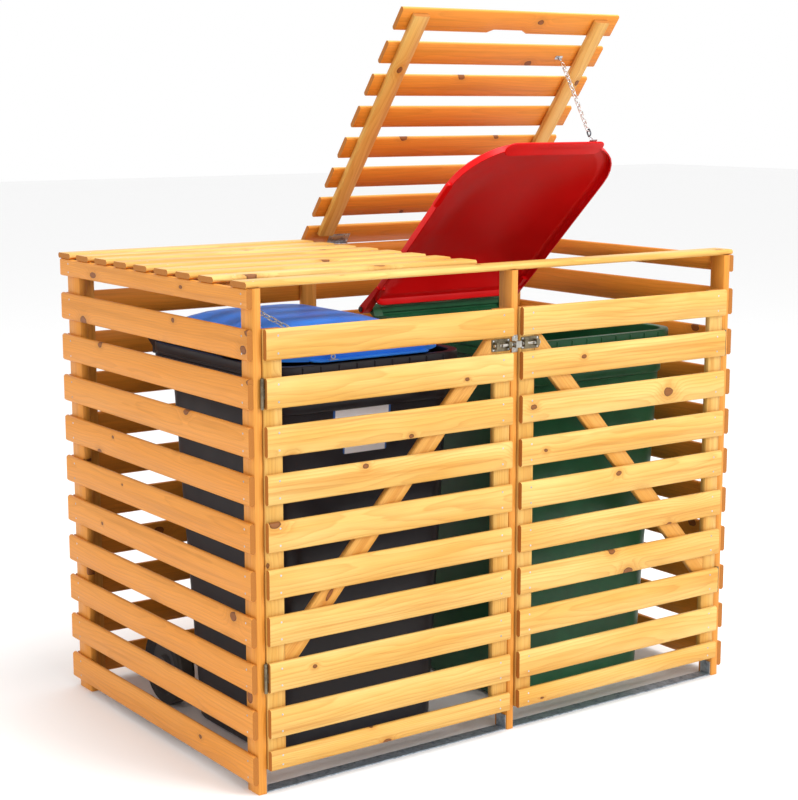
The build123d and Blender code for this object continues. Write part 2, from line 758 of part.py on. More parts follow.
def chain_layout(side):
    """Lower end, straight direction, folded direction and length of a chain, with both lids shut.

    The straight direction is the one that reaches the timber lid's eye when both lids are open.
    """
    sign = SIDES[side]
    lip_y = BIN_LID_Y - BIN_LID_SIZE[1] / 2 - LIP_OUT / 2
    foot = Vector(BIN_X[side] + sign * HOOK_FROM_BIN, lip_y, BIN_LID_LOW + LIP_T + ANCHOR_H)
    eye = Vector(sign * CHAIN_X, LID_AXIS_Y - CHAIN_EYE_REACH, LID_AXIS_Z + CHAIN_END_DROP)
    eye_open = turned(turned(eye, LID_HINGE, -LID_OPEN), BIN_HINGE, BIN_LID_OPEN)
    straight = eye_open - foot
    folded = Vector(sign * FOLDED[0], FOLDED[1], FOLDED[2])
    return foot, straight.normalized(), folded.normalized(), straight.length


def chain_pose(piece, side):
    """A chain, drawn straight over a shut bin lid, turned to where it rests."""
    foot, straight, folded, _ = chain_layout(side)
    if side == OPEN_SIDE:
        return bin_lid_pose(piece, side)
    swing = Axis(foot, straight.cross(folded))
    return piece.rotate(swing, straight.get_angle(folded))


def link(middle, along, normal, size, wire):
    """One oval link: its middle, its long direction, the normal of its plane, and its length and width."""
    plane = Plane(origin=middle, x_dir=along, z_dir=normal)
    radius = size[1] / 2 - wire
    half = (size[0] - size[1]) / 2
    with BuildPart() as oval:
        with BuildLine(plane) as route:
            rear = Line((0, -radius), (-half, -radius))
            ThreePointArc(rear @ 1, (-half - radius, 0), (-half, radius))
            Line((-half, radius), (half, radius))
            ThreePointArc((half, radius), (half + radius, 0), (half, -radius))
            Line((half, -radius), (0, -radius))
        with BuildSketch(Plane(origin=rear @ 0, z_dir=along)):
            Circle(wire)
        sweep(path=route.wires()[0])
    return oval.part


def lip_anchor(side):
    """Plate with a standing ring on the lip of the bin lid."""
    foot = chain_layout(side)[0]
    ring_r = (ANCHOR_H - LEAF_T) / 2 - WIRE_R - HOOK_GAP / 2
    base = BIN_LID_LOW + LIP_T
    with BuildPart() as anchor:
        with BuildSketch(Plane.XY.offset(base)):
            with Locations((foot.X, foot.Y)):
                RectangleRounded(26, 12, 3)
        extrude(amount=LEAF_T)
        with Locations(Location((foot.X, foot.Y, base + LEAF_T + ring_r + WIRE_R / 2), (90, 0, 0))):
            Torus(ring_r, WIRE_R)
    write(bin_lid_pose(anchor.part, side), f"{side}_lip_anchor")


def chain(side):
    """Snap hook at the lower end, then oval links set crosswise up to the lid's eye."""
    foot, straight, _, length = chain_layout(side)
    across = straight.cross(Vector(0, 1, 0)).normalized()
    second = straight.cross(across)
    hook = link(foot + straight * (HOOK_GAP + HOOK_L / 2), straight, across, (HOOK_L, HOOK_W), HOOK_R)
    write(chain_pose(hook, side), f"{side}_snap_hook")
    first = HOOK_GAP + HOOK_L - 2 * HOOK_R - WIRE_R / 4
    pitch = (length - first - LINK_L) / (LINK_COUNT - 1)
    links = []
    for i in range(LINK_COUNT):
        middle = foot + straight * (first + i * pitch + LINK_L / 2 - 2 * WIRE_R)
        normal = second if i % 2 == 0 else across
        links.append(link(middle, straight, normal, (LINK_L, LINK_W), WIRE_R))
    write(chain_pose(Compound(children=links), side), f"{side}_chain_links")


os.makedirs("parts", exist_ok=True)
back_slats()
front_posts()
rear_posts()
back_battens()
header_rail()
thresholds()
latch_keeper()
for bay in SIDES:
    side_slats(bay)
    door_hinges(bay)
    lid_hinges(bay)
    lid_boards(bay)
    lid_battens(bay)
    lid_chain_eye(bay)
    door_slats(bay)
    door_battens(bay)
    door_brace(bay)
    latch_plate(bay)
    latch_bolt(bay)
    bin_body(bay)
    bin_pegs(bay)
    bin_axle(bay)
    bin_wheels(bay)
    bin_lid(bay)
    lip_anchor(bay)
    chain(bay)
bin_labels()
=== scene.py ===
import json
from math import atan2, cos, pi, radians, sin

import bmesh
import bpy
from mathutils import Matrix, Vector


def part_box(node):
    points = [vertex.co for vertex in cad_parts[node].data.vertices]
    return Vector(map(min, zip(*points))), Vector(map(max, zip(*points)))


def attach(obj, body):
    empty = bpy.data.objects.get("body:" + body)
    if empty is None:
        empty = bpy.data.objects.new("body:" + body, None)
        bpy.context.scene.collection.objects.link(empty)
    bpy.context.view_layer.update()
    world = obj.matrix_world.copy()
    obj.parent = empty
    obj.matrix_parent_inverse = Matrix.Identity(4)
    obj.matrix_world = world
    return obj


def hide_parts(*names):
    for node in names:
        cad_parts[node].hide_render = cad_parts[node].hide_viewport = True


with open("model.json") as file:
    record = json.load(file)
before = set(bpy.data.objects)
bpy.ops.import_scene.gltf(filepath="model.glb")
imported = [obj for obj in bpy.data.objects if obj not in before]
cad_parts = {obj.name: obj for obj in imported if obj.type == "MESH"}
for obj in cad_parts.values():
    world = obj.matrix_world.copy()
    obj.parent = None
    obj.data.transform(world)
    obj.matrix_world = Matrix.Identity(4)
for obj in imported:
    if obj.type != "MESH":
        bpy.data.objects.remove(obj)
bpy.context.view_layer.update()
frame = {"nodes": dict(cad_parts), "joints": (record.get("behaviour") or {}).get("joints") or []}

# ---- Boards of the housing: sides, back and header
# Planed softwood, 70 x 14 mm, with its long edges broken and a clear honey stain over it.
# They are sawn to length and nailed to the posts from outside, with a 40 mm gap between rows.
BOARD_T = 0.014
BOARD_W = 0.070
BOARD_PITCH = 0.110
BOARD_EDGE = 0.0042
BATTEN_EDGE = 0.0012
TOP_ROW_Z = 1.050
FULL_ROWS = 10
SIDE_TOP_W = 0.045
BACK_TOP_W = 0.042
RING_PITCH = 0.0062
KNOTS_PER_M = (2.6, 11.5)
KNOT_STRETCH = 0.72
KNOT_RARITY = 0.45
KNOT_R = 0.0118
LATE_WOOD_SHARE = 0.42
STREAK_SHARE = 0.50
# painted shade on boards' inner faces, which stand in shadow
INNER_PAINTED_SHADE = 0.95
STAIN_PALE = (0.80, 0.55, 0.185, 1)
STAIN_HONEY = (0.67, 0.355, 0.070, 1)
# deep honey used only as painted shade on faces that stand in shadow
PAINTED_SHADE_HONEY = (0.72, 0.250, 0.026, 1)
STAIN_RING = (0.50, 0.185, 0.022, 1)
KNOT_HEART = (0.20, 0.060, 0.014, 1)
KNOT_EDGE = (0.095, 0.026, 0.007, 1)
END_GRAIN = (0.42, 0.155, 0.028, 1)
ALONG, ACROSS, UP = Vector((1, 0, 0)), Vector((0, 1, 0)), Vector((0, 0, 1))


def put(tree, kind, links=(), **settings):
    """A node in a tree: its own settings, and for each linked input a value or another node's output."""
    made = tree.nodes.new(kind)
    for setting, value in settings.items():
        setattr(made, setting, value)
    for socket, value in links:
        if isinstance(value, bpy.types.NodeSocket):
            tree.links.new(value, made.inputs[socket])
        else:
            made.inputs[socket].default_value = value
    return made


def new_group(kind, title, inputs, outputs):
    """An empty node group with named inputs and outputs, and the two nodes that stand for them."""
    tree = bpy.data.node_groups.new(title, kind)
    for label, socket, value in inputs:
        made = tree.interface.new_socket(label, in_out="INPUT", socket_type=socket)
        if value is not None:
            made.default_value = value
    for label, socket in outputs:
        tree.interface.new_socket(label, in_out="OUTPUT", socket_type=socket)
    return tree, tree.nodes.new("NodeGroupInput").outputs, tree.nodes.new("NodeGroupOutput").inputs


def maths(tree, operation, *values):
    return put(tree, "ShaderNodeMath", list(enumerate(values)), operation=operation).outputs[0]


def vector_maths(tree, operation, *values):
    made = put(tree, "ShaderNodeVectorMath", list(enumerate(values)), operation=operation)
    return made.outputs["Value" if operation in ("LENGTH", "DISTANCE", "DOT_PRODUCT") else "Vector"]


def remap(tree, value, low, high, to_low=0.0, to_high=1.0, smooth=True):
    kind = "SMOOTHSTEP" if smooth else "LINEAR"
    links = [(0, value), (1, low), (2, high), (3, to_low), (4, to_high)]
    return put(tree, "ShaderNodeMapRange", links, interpolation_type=kind).outputs[0]


def mix_colours(tree, share, first, second, blend="MIX"):
    links = [(0, share), (6, first), (7, second)]
    return put(tree, "ShaderNodeMix", links, data_type="RGBA", blend_type=blend).outputs[2]


def noise(tree, place, scale, detail=2.0, rough=0.5):
    links = [("Vector", place), ("Scale", scale), ("Detail", detail), ("Roughness", rough)]
    return put(tree, "ShaderNodeTexNoise", links).outputs["Fac"]


def pine_grain():
    """Growth rings, fibre, knots, stained end grain and painted shade on a board's own length, width and
    thickness.
    """
    tree, given, out = new_group(
        "ShaderNodeTree",
        "pine grain",
        [
            ("Place", "NodeSocketVector", None),
            ("Tone", "NodeSocketFloat", 0.5),
            ("Stain", "NodeSocketFloat", 0.0),
            ("End", "NodeSocketFloat", 0.0),
        ],
        [("Color", "NodeSocketColor"), ("Roughness", "NodeSocketFloat"), ("Height", "NodeSocketFloat")],
    )
    place, tone = given["Place"], given["Tone"]
    shift = put(tree, "ShaderNodeCombineXYZ", [(0, maths(tree, "MULTIPLY", tone, 31.7)),
                                               (1, maths(tree, "MULTIPLY", tone, 7.31)),
                                               (2, maths(tree, "MULTIPLY", tone, 3.17))]).outputs[0]
    own = vector_maths(tree, "ADD", place, shift)

    knot_scale = (*KNOTS_PER_M, 0.0)
    cell = vector_maths(tree, "MULTIPLY", own, knot_scale)
    found = put(tree, "ShaderNodeTexVoronoi", [("Vector", cell), ("Scale", 1.0), ("Randomness", 0.75)],
                voronoi_dimensions="2D", feature="F1")
    away = vector_maths(tree, "DIVIDE", vector_maths(tree, "SUBTRACT", found.outputs["Position"], cell),
                        (KNOTS_PER_M[0] / KNOT_STRETCH, KNOTS_PER_M[1], 1.0))
    flat_away = vector_maths(tree, "MULTIPLY", away, (1.0, 1.0, 0.0))
    wobble = noise(tree, own, 60.0)
    distance = maths(tree, "ADD", vector_maths(tree, "LENGTH", flat_away),
                     maths(tree, "MULTIPLY", maths(tree, "SUBTRACT", wobble, 0.5), 0.006))
    chance = put(tree, "ShaderNodeSeparateColor", [(0, found.outputs["Color"])]).outputs[0]
    radius = remap(tree, chance, 0.36, 1.0, 0.0, KNOT_R, smooth=False)
    there = maths(tree, "GREATER_THAN", chance, KNOT_RARITY)
    knot = maths(tree, "MULTIPLY", there,
                 remap(tree, maths(tree, "SUBTRACT", distance, radius), -0.0012, 0.0016, 1.0, 0.0))
    rim = maths(tree, "MULTIPLY", there, remap(
        tree, maths(tree, "ABSOLUTE", maths(tree, "SUBTRACT", distance, radius)), 0.0, 0.0018, 1.0, 0.0))
    spread = maths(tree, "DIVIDE", distance, maths(tree, "ADD", maths(tree, "MULTIPLY", radius, 2.4), 0.001))
    pull = maths(tree, "MULTIPLY", maths(tree, "EXPONENT", maths(tree, "MULTIPLY", maths(
        tree, "POWER", spread, 2.0), -1.0)), maths(
            tree, "MULTIPLY", radius, maths(tree, "MULTIPLY", there, 2.2)))
    halo = maths(tree, "MULTIPLY", there, remap(tree, spread, 0.3, 1.5, 1.0, 0.0))

    parts = put(tree, "ShaderNodeSeparateXYZ", [(0, place)]).outputs
    off_y = maths(tree, "MULTIPLY", maths(tree, "SUBTRACT", maths(
        tree, "FRACT", maths(tree, "MULTIPLY", tone, 13.7)), 0.5), 0.09)
    off_z = maths(tree, "ADD", maths(tree, "MULTIPLY", maths(
        tree, "FRACT", maths(tree, "MULTIPLY", tone, 5.3)), 0.05), 0.022)
    centre = put(tree, "ShaderNodeCombineXYZ", [(1, maths(tree, "ADD", parts[1], off_y)),
                                                (2, maths(tree, "ADD", parts[2], off_z))]).outputs[0]
    sway = noise(tree, vector_maths(tree, "MULTIPLY", own, (1.3, 5.0, 5.0)), 1.0, 3.0)
    flutter = noise(tree, vector_maths(tree, "MULTIPLY", own, (7.0, 60.0, 60.0)), 1.0)
    reach = maths(tree, "ADD", vector_maths(tree, "LENGTH", centre), maths(
        tree, "ADD", maths(tree, "MULTIPLY", sway, 0.055), maths(tree, "MULTIPLY", flutter, 0.0035)))
    ring = maths(tree, "FRACT", maths(tree, "DIVIDE", maths(tree, "ADD", reach, pull), RING_PITCH))
    late = maths(tree, "MULTIPLY", maths(tree, "POWER", ring, 2.6), remap(tree, ring, 0.90, 1.0, 1.0, 0.0))

    fibre = noise(tree, vector_maths(tree, "MULTIPLY", own, (9.0, 520.0, 520.0)), 1.0, 3.0, 0.6)
    patches = noise(tree, vector_maths(tree, "MULTIPLY", own, (2.2, 14.0, 14.0)), 1.0, 3.0)
    board = maths(tree, "FRACT", maths(tree, "MULTIPLY", tone, 91.3))
    depth = maths(tree, "ADD", remap(tree, patches, 0.32, 0.68, 0.0, 0.80, smooth=False),
                  maths(tree, "MULTIPLY", board, 0.34))
    colour = mix_colours(tree, depth, STAIN_PALE, STAIN_HONEY)
    # Painted shade: the colour is pulled towards deep honey by the share given for faces in shadow.
    colour = mix_colours(tree, given["Stain"], colour, PAINTED_SHADE_HONEY)
    streaks = remap(tree, noise(tree, vector_maths(tree, "MULTIPLY", own, (1.4, 46.0, 46.0)), 1.0, 3.0),
                    0.52, 0.72)
    colour = mix_colours(tree, maths(tree, "MULTIPLY", streaks, STREAK_SHARE), colour, STAIN_RING)
    colour = mix_colours(tree, maths(tree, "MULTIPLY", late, LATE_WOOD_SHARE), colour, STAIN_RING)
    colour = mix_colours(tree, maths(tree, "MULTIPLY", halo, 0.5), colour, STAIN_RING)
    colour = mix_colours(tree, maths(tree, "MULTIPLY", knot, 0.9), colour, KNOT_HEART)
    colour = mix_colours(tree, maths(tree, "MULTIPLY", rim, 0.85), colour, KNOT_EDGE)
    colour = mix_colours(tree, given["End"], colour, END_GRAIN)
    shade = remap(tree, fibre, 0.2, 0.8, 0.86, 1.10, smooth=False)
    grey = put(tree, "ShaderNodeCombineColor", [(0, shade), (1, shade), (2, shade)]).outputs[0]
    tree.links.new(mix_colours(tree, 1.0, colour, grey, "MULTIPLY"), out["Color"])
    rough = maths(tree, "ADD", remap(tree, fibre, 0.2, 0.8, 0.34, 0.50, smooth=False),
                  maths(tree, "MULTIPLY", given["End"], 0.3))
    tree.links.new(rough, out["Roughness"])
    height = maths(tree, "SUBTRACT", maths(tree, "MULTIPLY", fibre, 0.5), maths(
        tree, "ADD", maths(tree, "MULTIPLY", late, 0.5), maths(tree, "MULTIPLY", rim, 1.2)))
    tree.links.new(height, out["Height"])
    return tree


def new_material(title):
    """A material with only its Principled shader, and the two things needed to fill it."""
    made = bpy.data.materials.new(title)
    made.use_nodes = True
    return made, made.node_tree, made.node_tree.nodes["Principled BSDF"]


def finish_surface(tree, shader, group, depth, colour=None):
    """A group's colour, roughness and height on the shader, the height as bump of so many metres."""
    tree.links.new(colour or group.outputs["Color"], shader.inputs["Base Color"])
    tree.links.new(group.outputs["Roughness"], shader.inputs["Roughness"])
    bump = put(tree, "ShaderNodeBump", [("Height", group.outputs["Height"]), ("Distance", depth)])
    tree.links.new(bump.outputs[0], shader.inputs["Normal"])


PINE_GRAIN = pine_grain()
timber, tree, shader = new_material("honey stained pine")
grain = put(tree, "ShaderNodeGroup", node_tree=PINE_GRAIN)
for socket, attribute, output in (("Place", "board_place", "Vector"), ("Tone", "board_tone", "Fac"),
                                  ("Stain", "board_painted_shade", "Fac"), ("End", "board_end", "Fac")):
    read = put(tree, "ShaderNodeAttribute", attribute_name=attribute)
    tree.links.new(read.outputs[output], grain.inputs[socket])
finish_surface(tree, shader, grain, 0.0006)
shader.inputs["Specular IOR Level"].default_value = 0.22


def store(tree, geometry, title, value, data_type, domain="POINT"):
    links = [("Geometry", geometry), ("Name", title), ("Value", value)]
    return put(tree, "GeometryNodeStoreNamedAttribute", links, data_type=data_type, domain=domain).outputs[0]


def sawn_boards():
    """Boards of one section, laid on points, each with its own grain and a length that is a hair under, with
    painted shade on the whole section and deeper painted shade on its inner faces.
    """
    tree, given, out = new_group(
        "GeometryNodeTree",
        "sawn boards",
        [
            ("Points", "NodeSocketGeometry", None),
            ("Length", "NodeSocketFloat", 1.0),
            ("Width", "NodeSocketFloat", BOARD_W),
            ("Thickness", "NodeSocketFloat", BOARD_T),
            ("Edge", "NodeSocketFloat", BOARD_EDGE),
            ("Turn", "NodeSocketVector", (0.0, 0.0, 0.0)),
            ("Stain", "NodeSocketFloat", 0.0),
            ("Outer", "NodeSocketFloat", 0.0),
            ("Seed", "NodeSocketInt", 0),
            ("Material", "NodeSocketMaterial", None),
        ],
        [("Boards", "NodeSocketGeometry")],
    )
    half = maths(tree, "MULTIPLY", given["Length"], 0.5)
    start = put(tree, "ShaderNodeCombineXYZ", [(0, maths(tree, "MULTIPLY", half, -1.0))]).outputs[0]
    end = put(tree, "ShaderNodeCombineXYZ", [(0, half)]).outputs[0]
    line = put(tree, "GeometryNodeCurvePrimitiveLine", [("Start", start), ("End", end)]).outputs[0]
    line = put(tree, "GeometryNodeResampleCurve", [("Curve", line), ("Count", 9)]).outputs[0]
    section = put(tree, "GeometryNodeCurvePrimitiveQuadrilateral",
                  [("Width", given["Width"]), ("Height", given["Thickness"])]).outputs[0]
    rounded = put(tree, "GeometryNodeFilletCurve", [("Curve", section), ("Radius", given["Edge"]),
                                                    ("Count", 1)], mode="POLY").outputs[0]
    board = put(tree, "GeometryNodeCurveToMesh", [("Curve", line), ("Profile Curve", rounded),
                                                  ("Fill Caps", True)]).outputs[0]
    place = put(tree, "GeometryNodeInputPosition").outputs[0]
    board = store(tree, board, "board_place", place, "FLOAT_VECTOR")
    facing = put(tree, "ShaderNodeSeparateXYZ", [(0, put(tree, "GeometryNodeInputNormal").outputs[0])])
    cut = maths(tree, "GREATER_THAN", maths(tree, "ABSOLUTE", facing.outputs[0]), 0.9)
    board = store(tree, board, "board_end", cut, "FLOAT", "FACE")
    # Inner faces get painted shade: their colour is mixed towards deep honey as if they stood in shadow.
    inner = maths(tree, "GREATER_THAN", maths(tree, "MULTIPLY", facing.outputs[2], maths(
        tree, "MULTIPLY", given["Outer"], -1.0)), 0.5)
    painted_shade = maths(tree, "MAXIMUM", given["Stain"], maths(tree, "MULTIPLY", inner, INNER_PAINTED_SHADE))
    board = store(tree, board, "board_painted_shade", painted_shade, "FLOAT", "FACE")
    size = put(tree, "GeometryNodeInputNamedAttribute", [("Name", "board_size")], data_type="FLOAT_VECTOR")
    sawn = put(tree, "FunctionNodeRandomValue", [(0, (0.9985, 1.0, 1.0)), (1, (1.0, 1.0, 1.0)),
                                                 ("Seed", given["Seed"])], data_type="FLOAT_VECTOR")
    scale = vector_maths(tree, "MULTIPLY", size.outputs[0], sawn.outputs[0])
    turn = put(tree, "FunctionNodeEulerToRotation", [(0, given["Turn"])]).outputs[0]
    laid = put(tree, "GeometryNodeInstanceOnPoints", [("Points", given["Points"]), ("Instance", board),
                                                      ("Rotation", turn), ("Scale", scale)]).outputs[0]
    tone = put(tree, "FunctionNodeRandomValue", [("Seed", given["Seed"])], data_type="FLOAT").outputs[1]
    laid = store(tree, laid, "board_tone", tone, "FLOAT", "INSTANCE")
    real = put(tree, "GeometryNodeRealizeInstances", [(0, laid)]).outputs[0]
    real = put(tree, "GeometryNodeSetMaterial", [("Geometry", real), ("Material", given["Material"])])
    tree.links.new(real.outputs[0], out[0])
    return tree


def grow(title, tree, points, **values):
    """A plain mesh object made by a Geometry Nodes tree from points and the tree's named inputs."""
    mesh = bpy.data.meshes.new(title)
    mesh.from_pydata([Vector(p) for p, _ in points], [], [])
    sizes = mesh.attributes.new("board_size", "FLOAT_VECTOR", "POINT")
    for i, (_, width) in enumerate(points):
        sizes.data[i].vector = (1.0, width, 1.0)
    piece = bpy.data.objects.new(title, mesh)
    bpy.context.scene.collection.objects.link(piece)
    modifier = piece.modifiers.new("made", "NODES")
    modifier.node_group = tree
    for socket in tree.interface.items_tree:
        if socket.name in values:
            modifier[socket.identifier] = values[socket.name]
    made = bpy.data.meshes.new_from_object(piece.evaluated_get(bpy.context.evaluated_depsgraph_get()))
    piece.modifiers.clear()
    piece.data = made
    made.name = title
    return piece


def turn_to(length, width):
    """Euler turn that takes a board's length and width to these two directions."""
    return Matrix((length, width, length.cross(width))).transposed().to_euler()[:]


def lay_boards(title, body, node, rows, length, width=BOARD_W, thick=BOARD_T, edge=BOARD_EDGE,
               run=ALONG, face=ACROSS, painted_shade=0.0, outer=0.0, seed=1):
    """Boards in place of one CAD node: rows are middle points with a share of the full width."""
    piece = grow(title, SAWN_BOARDS, rows, Length=length, Width=width, Thickness=thick, Edge=edge,
                 Turn=turn_to(run, face), Stain=painted_shade, Outer=outer, Seed=seed, Material=timber)
    if node:
        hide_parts(node)
    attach(piece, body)
    return piece


def middle_of(node):
    low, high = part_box(node)
    return (low + high) / 2, high - low


SAWN_BOARDS = sawn_boards()
BAYS = {"left": -1, "right": 1}
# Side and back boards get painted shade, darker than the doors and header because they are lit less.
for bay, sign in BAYS.items():
    middle, size = middle_of(f"{bay}_side_slats")
    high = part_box(f"{bay}_side_slats")[1].z
    rows = [((middle.x, middle.y, TOP_ROW_Z - BOARD_PITCH * row), 1.0) for row in range(FULL_ROWS)]
    rows.append(((middle.x, middle.y, high - SIDE_TOP_W / 2), SIDE_TOP_W / BOARD_W))
    lay_boards(f"{bay}_side_boards", "housing", f"{bay}_side_slats", rows, size.y,
               run=ACROSS, face=UP, painted_shade=0.85, outer=float(sign), seed=11 + sign)
middle, size = middle_of("back_slats")
rows = [((0, middle.y, TOP_ROW_Z - BOARD_PITCH * row), 1.0) for row in range(FULL_ROWS)]
rows.append(((0, middle.y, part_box("back_slats")[1].z - BACK_TOP_W / 2), BACK_TOP_W / BOARD_W))
lay_boards("back_boards", "housing", "back_slats", rows, size.x, face=UP, painted_shade=0.8, outer=-1.0, seed=21)
middle, size = middle_of("header_rail")
lay_boards("header_board", "housing", "header_rail", [(middle, 1.0)], size.x, seed=5)

# ---- Posts and the battens of the back
# Square-sawn softwood of the same stain, standing on the ground. The side boards are nailed to them.
# The three back battens hold the back boards in line between the rear posts.
# Posts and back battens get painted shade for the shadow they stand in.
for node in ("left_front_post", "middle_front_post", "right_front_post", "left_rear_post", "right_rear_post"):
    middle, size = middle_of(node)
    lay_boards(node + "_timber", "housing", node, [(middle, 1.0)], size.z, size.y, size.x, BATTEN_EDGE,
               run=UP, face=ACROSS, painted_shade=0.75, seed=len(node) + ord(node[0]))
middle, size = middle_of("back_battens")
BACK_BATTEN_W = 0.048
outer = size.x / 2 - BACK_BATTEN_W / 2
rows = [((x, middle.y, middle.z), 1.0) for x in (-outer, 0, outer)]
lay_boards("back_uprights", "housing", "back_battens", rows, size.z, BACK_BATTEN_W, size.y, BATTEN_EDGE,
           run=UP, face=ALONG, painted_shade=0.6, seed=31)

# ---- Lifting lids of the housing
# Eight boards on two battens, nailed from above. The front board has a finger notch cut in its rear edge.
# Each lid is drawn shut here and then turned about its hinge by as far as it stands open at rest.
LID_ROWS = 8
LID_PITCH = 0.108
LID_BATTEN_W = 0.050
LID_BATTEN_EDGE = 0.002
NOTCH_HALF = (0.070, 0.050)
NOTCH_DEEP = 0.010
joints = {joint["name"]: joint for joint in frame["joints"]}


def open_at_rest(joint_name):
    """Turn from shut to the rest pose: a joint that rests open has all its travel below zero."""
    joint = joints[joint_name]
    pivot = Vector(joint["pos_m"])
    angle = radians(-joint["range_deg"][0])
    swing = Matrix.Rotation(angle, 4, Vector(joint["axis"]))
    return Matrix.Translation(pivot) @ swing @ Matrix.Translation(-pivot)


def cut_notch(piece, x, y):
    """Finger notch with slanting ends in the rear edge, at y, of the board that ends there."""
    shape = bmesh.new()
    shape.from_mesh(piece.data)
    for step in (-NOTCH_HALF[0], -NOTCH_HALF[1], NOTCH_HALF[1], NOTCH_HALF[0]):
        near = [v for v in shape.verts if v.co.y < y + 0.001]
        faces = {f for v in near for f in v.link_faces}
        edges = {e for v in near for e in v.link_edges}
        bmesh.ops.bisect_plane(shape, geom=[*near, *edges, *faces], plane_co=(x + step, 0, 0),
                               plane_no=(1, 0, 0))
    for vert in shape.verts:
        if abs(vert.co.x - x) < NOTCH_HALF[1] + 0.001 and y - 0.006 < vert.co.y < y + 0.001:
            vert.co.y -= NOTCH_DEEP
    shape.to_mesh(piece.data)
    shape.free()


for bay, sign in BAYS.items():
    shut = open_at_rest(f"{bay}_lid_hinge")
    left_low, left_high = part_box("left_lid_boards")
    x = sign * -(left_low.x + left_high.x) / 2
    length = left_high.x - left_low.x
    z = left_high.z - BOARD_T / 2
    rear = left_high.y - BOARD_W / 2
    rows = [((x, rear - LID_PITCH * row, z), 1.0) for row in range(LID_ROWS)]
    # The underside of the lid boards gets the painted shade of inner faces.
    lid = grow(f"{bay}_lid_top", SAWN_BOARDS, rows, Length=length, Width=BOARD_W, Thickness=BOARD_T,
               Edge=BOARD_EDGE, Turn=turn_to(ALONG, ACROSS), Outer=1.0, Seed=41 + sign, Material=timber)
    cut_notch(lid, x, left_low.y + BOARD_W)
    lid.data.transform(shut)
    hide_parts(f"{bay}_lid_boards")
    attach(lid, f"{bay}_lid")
    low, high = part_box("left_lid_battens")
    middle = (low + high) / 2
    rows = [((-sign * (low.x + LID_BATTEN_W / 2), middle.y, middle.z), 1.0),
            ((-sign * (high.x - LID_BATTEN_W / 2), middle.y, middle.z), 1.0)]
    battens = grow(f"{bay}_lid_underside_battens", SAWN_BOARDS, rows, Length=high.y - low.y,
                   Width=LID_BATTEN_W, Thickness=high.z - low.z, Edge=LID_BATTEN_EDGE,
                   Turn=turn_to(ACROSS, ALONG), Seed=51 + sign, Material=timber)
    battens.data.transform(shut)
    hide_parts(f"{bay}_lid_battens")
    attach(battens, f"{bay}_lid")

# ---- Doors
# Nine boards and a narrow foot board on two upright battens, with a slanting brace between them.
# The brace's ends are cut upright, so it is drawn straight and then sheared to its slope.
DOOR_ROWS = 9
FOOT_BOARD_W = 0.047
DOOR_BATTEN_W = 0.048
BRACE_W = 0.050
for bay, sign in BAYS.items():
    low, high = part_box(f"{bay}_door_slats")
    middle, size = middle_of(f"{bay}_door_slats")
    rows = [((middle.x, middle.y, TOP_ROW_Z - BOARD_PITCH * row), 1.0) for row in range(DOOR_ROWS)]
    rows.append(((middle.x, middle.y, low.z + FOOT_BOARD_W / 2), FOOT_BOARD_W / BOARD_W))
    # The back faces of the door boards get the painted shade of inner faces.
    lay_boards(f"{bay}_door_boards", f"{bay}_door", f"{bay}_door_slats", rows, size.x, face=UP,
               outer=1.0, seed=61 + sign)
    middle, size = middle_of(f"{bay}_door_battens")
    rows = [((middle.x + end * (size.x - DOOR_BATTEN_W) / 2, middle.y, middle.z), 1.0) for end in (-1, 1)]
    lay_boards(f"{bay}_door_uprights", f"{bay}_door", f"{bay}_door_battens", rows, size.z, DOOR_BATTEN_W,
               size.y, BATTEN_EDGE, run=UP, face=ALONG, seed=71 + sign)
    middle, size = middle_of(f"{bay}_door_brace")
    rise = size.z
    for _ in range(8):
        rise = size.z - BRACE_W / cos(atan2(rise, size.x))
    slope = atan2(rise, size.x)
    # The brace gets a light painted shade, as it stands behind the door boards in shadow.
    brace = lay_boards(f"{bay}_door_diagonal", f"{bay}_door", f"{bay}_door_brace", [(middle, 1.0)], size.x,
                       BRACE_W / cos(slope), size.y, BATTEN_EDGE, face=UP, painted_shade=0.35, seed=81 + sign)
    for vert in brace.data.vertices:
        vert.co.z -= sign * (vert.co.x - middle.x) * rise / size.x

# ---- Wheeled bins: bodies
# Each body is one moulded polyethylene shell, tapered to its foot, with two bands and a broad rim on top.
# Ribs under the rim's front edge stiffen it. Brackets behind carry the handle bar and a ribbed rail, and
# two ribs lower down carry the axle.
BIN_FOOT = (0.235, 0.2225, -0.132)
BIN_TOP = (0.262, 0.280, -0.120)
BIN_TOP_Z = 0.935
BIN_WALL = 0.004
BIN_CORNER = 0.065
RIM_HALF = (0.285, 0.315, -0.100)
RIM_CORNER = 0.078
RIM_Z = (0.930, 0.980)
HANDLE_AT = (0.295, 1.000)
HANDLE_R = 0.014
BRACKET_X = (0.215, 0.245)
BRACKET_R = 0.013
AXLE_RIB_X = 0.140
AXLE_RIB_T = 0.020
AXLE_RIB = ((0.0, 0.070), (0.0, 0.300), (0.0905, 0.300), (0.150, 0.210), (0.205, 0.135), (0.225, 0.112),
            (0.225, 0.080), (0.195, 0.070))
RAIL_Y = (0.281, 0.287, 0.303)
RAIL_Z = (0.930, 1.012)
RAIL_RIDGES = 3
RAIL_GROOVE = 0.004
LIP_RIBS = 9
LIP_RIB_PITCH = 0.0507
LIP_RIB_Z = 0.9555
CORNER_STEPS = 8
SIDE_STEPS = 6


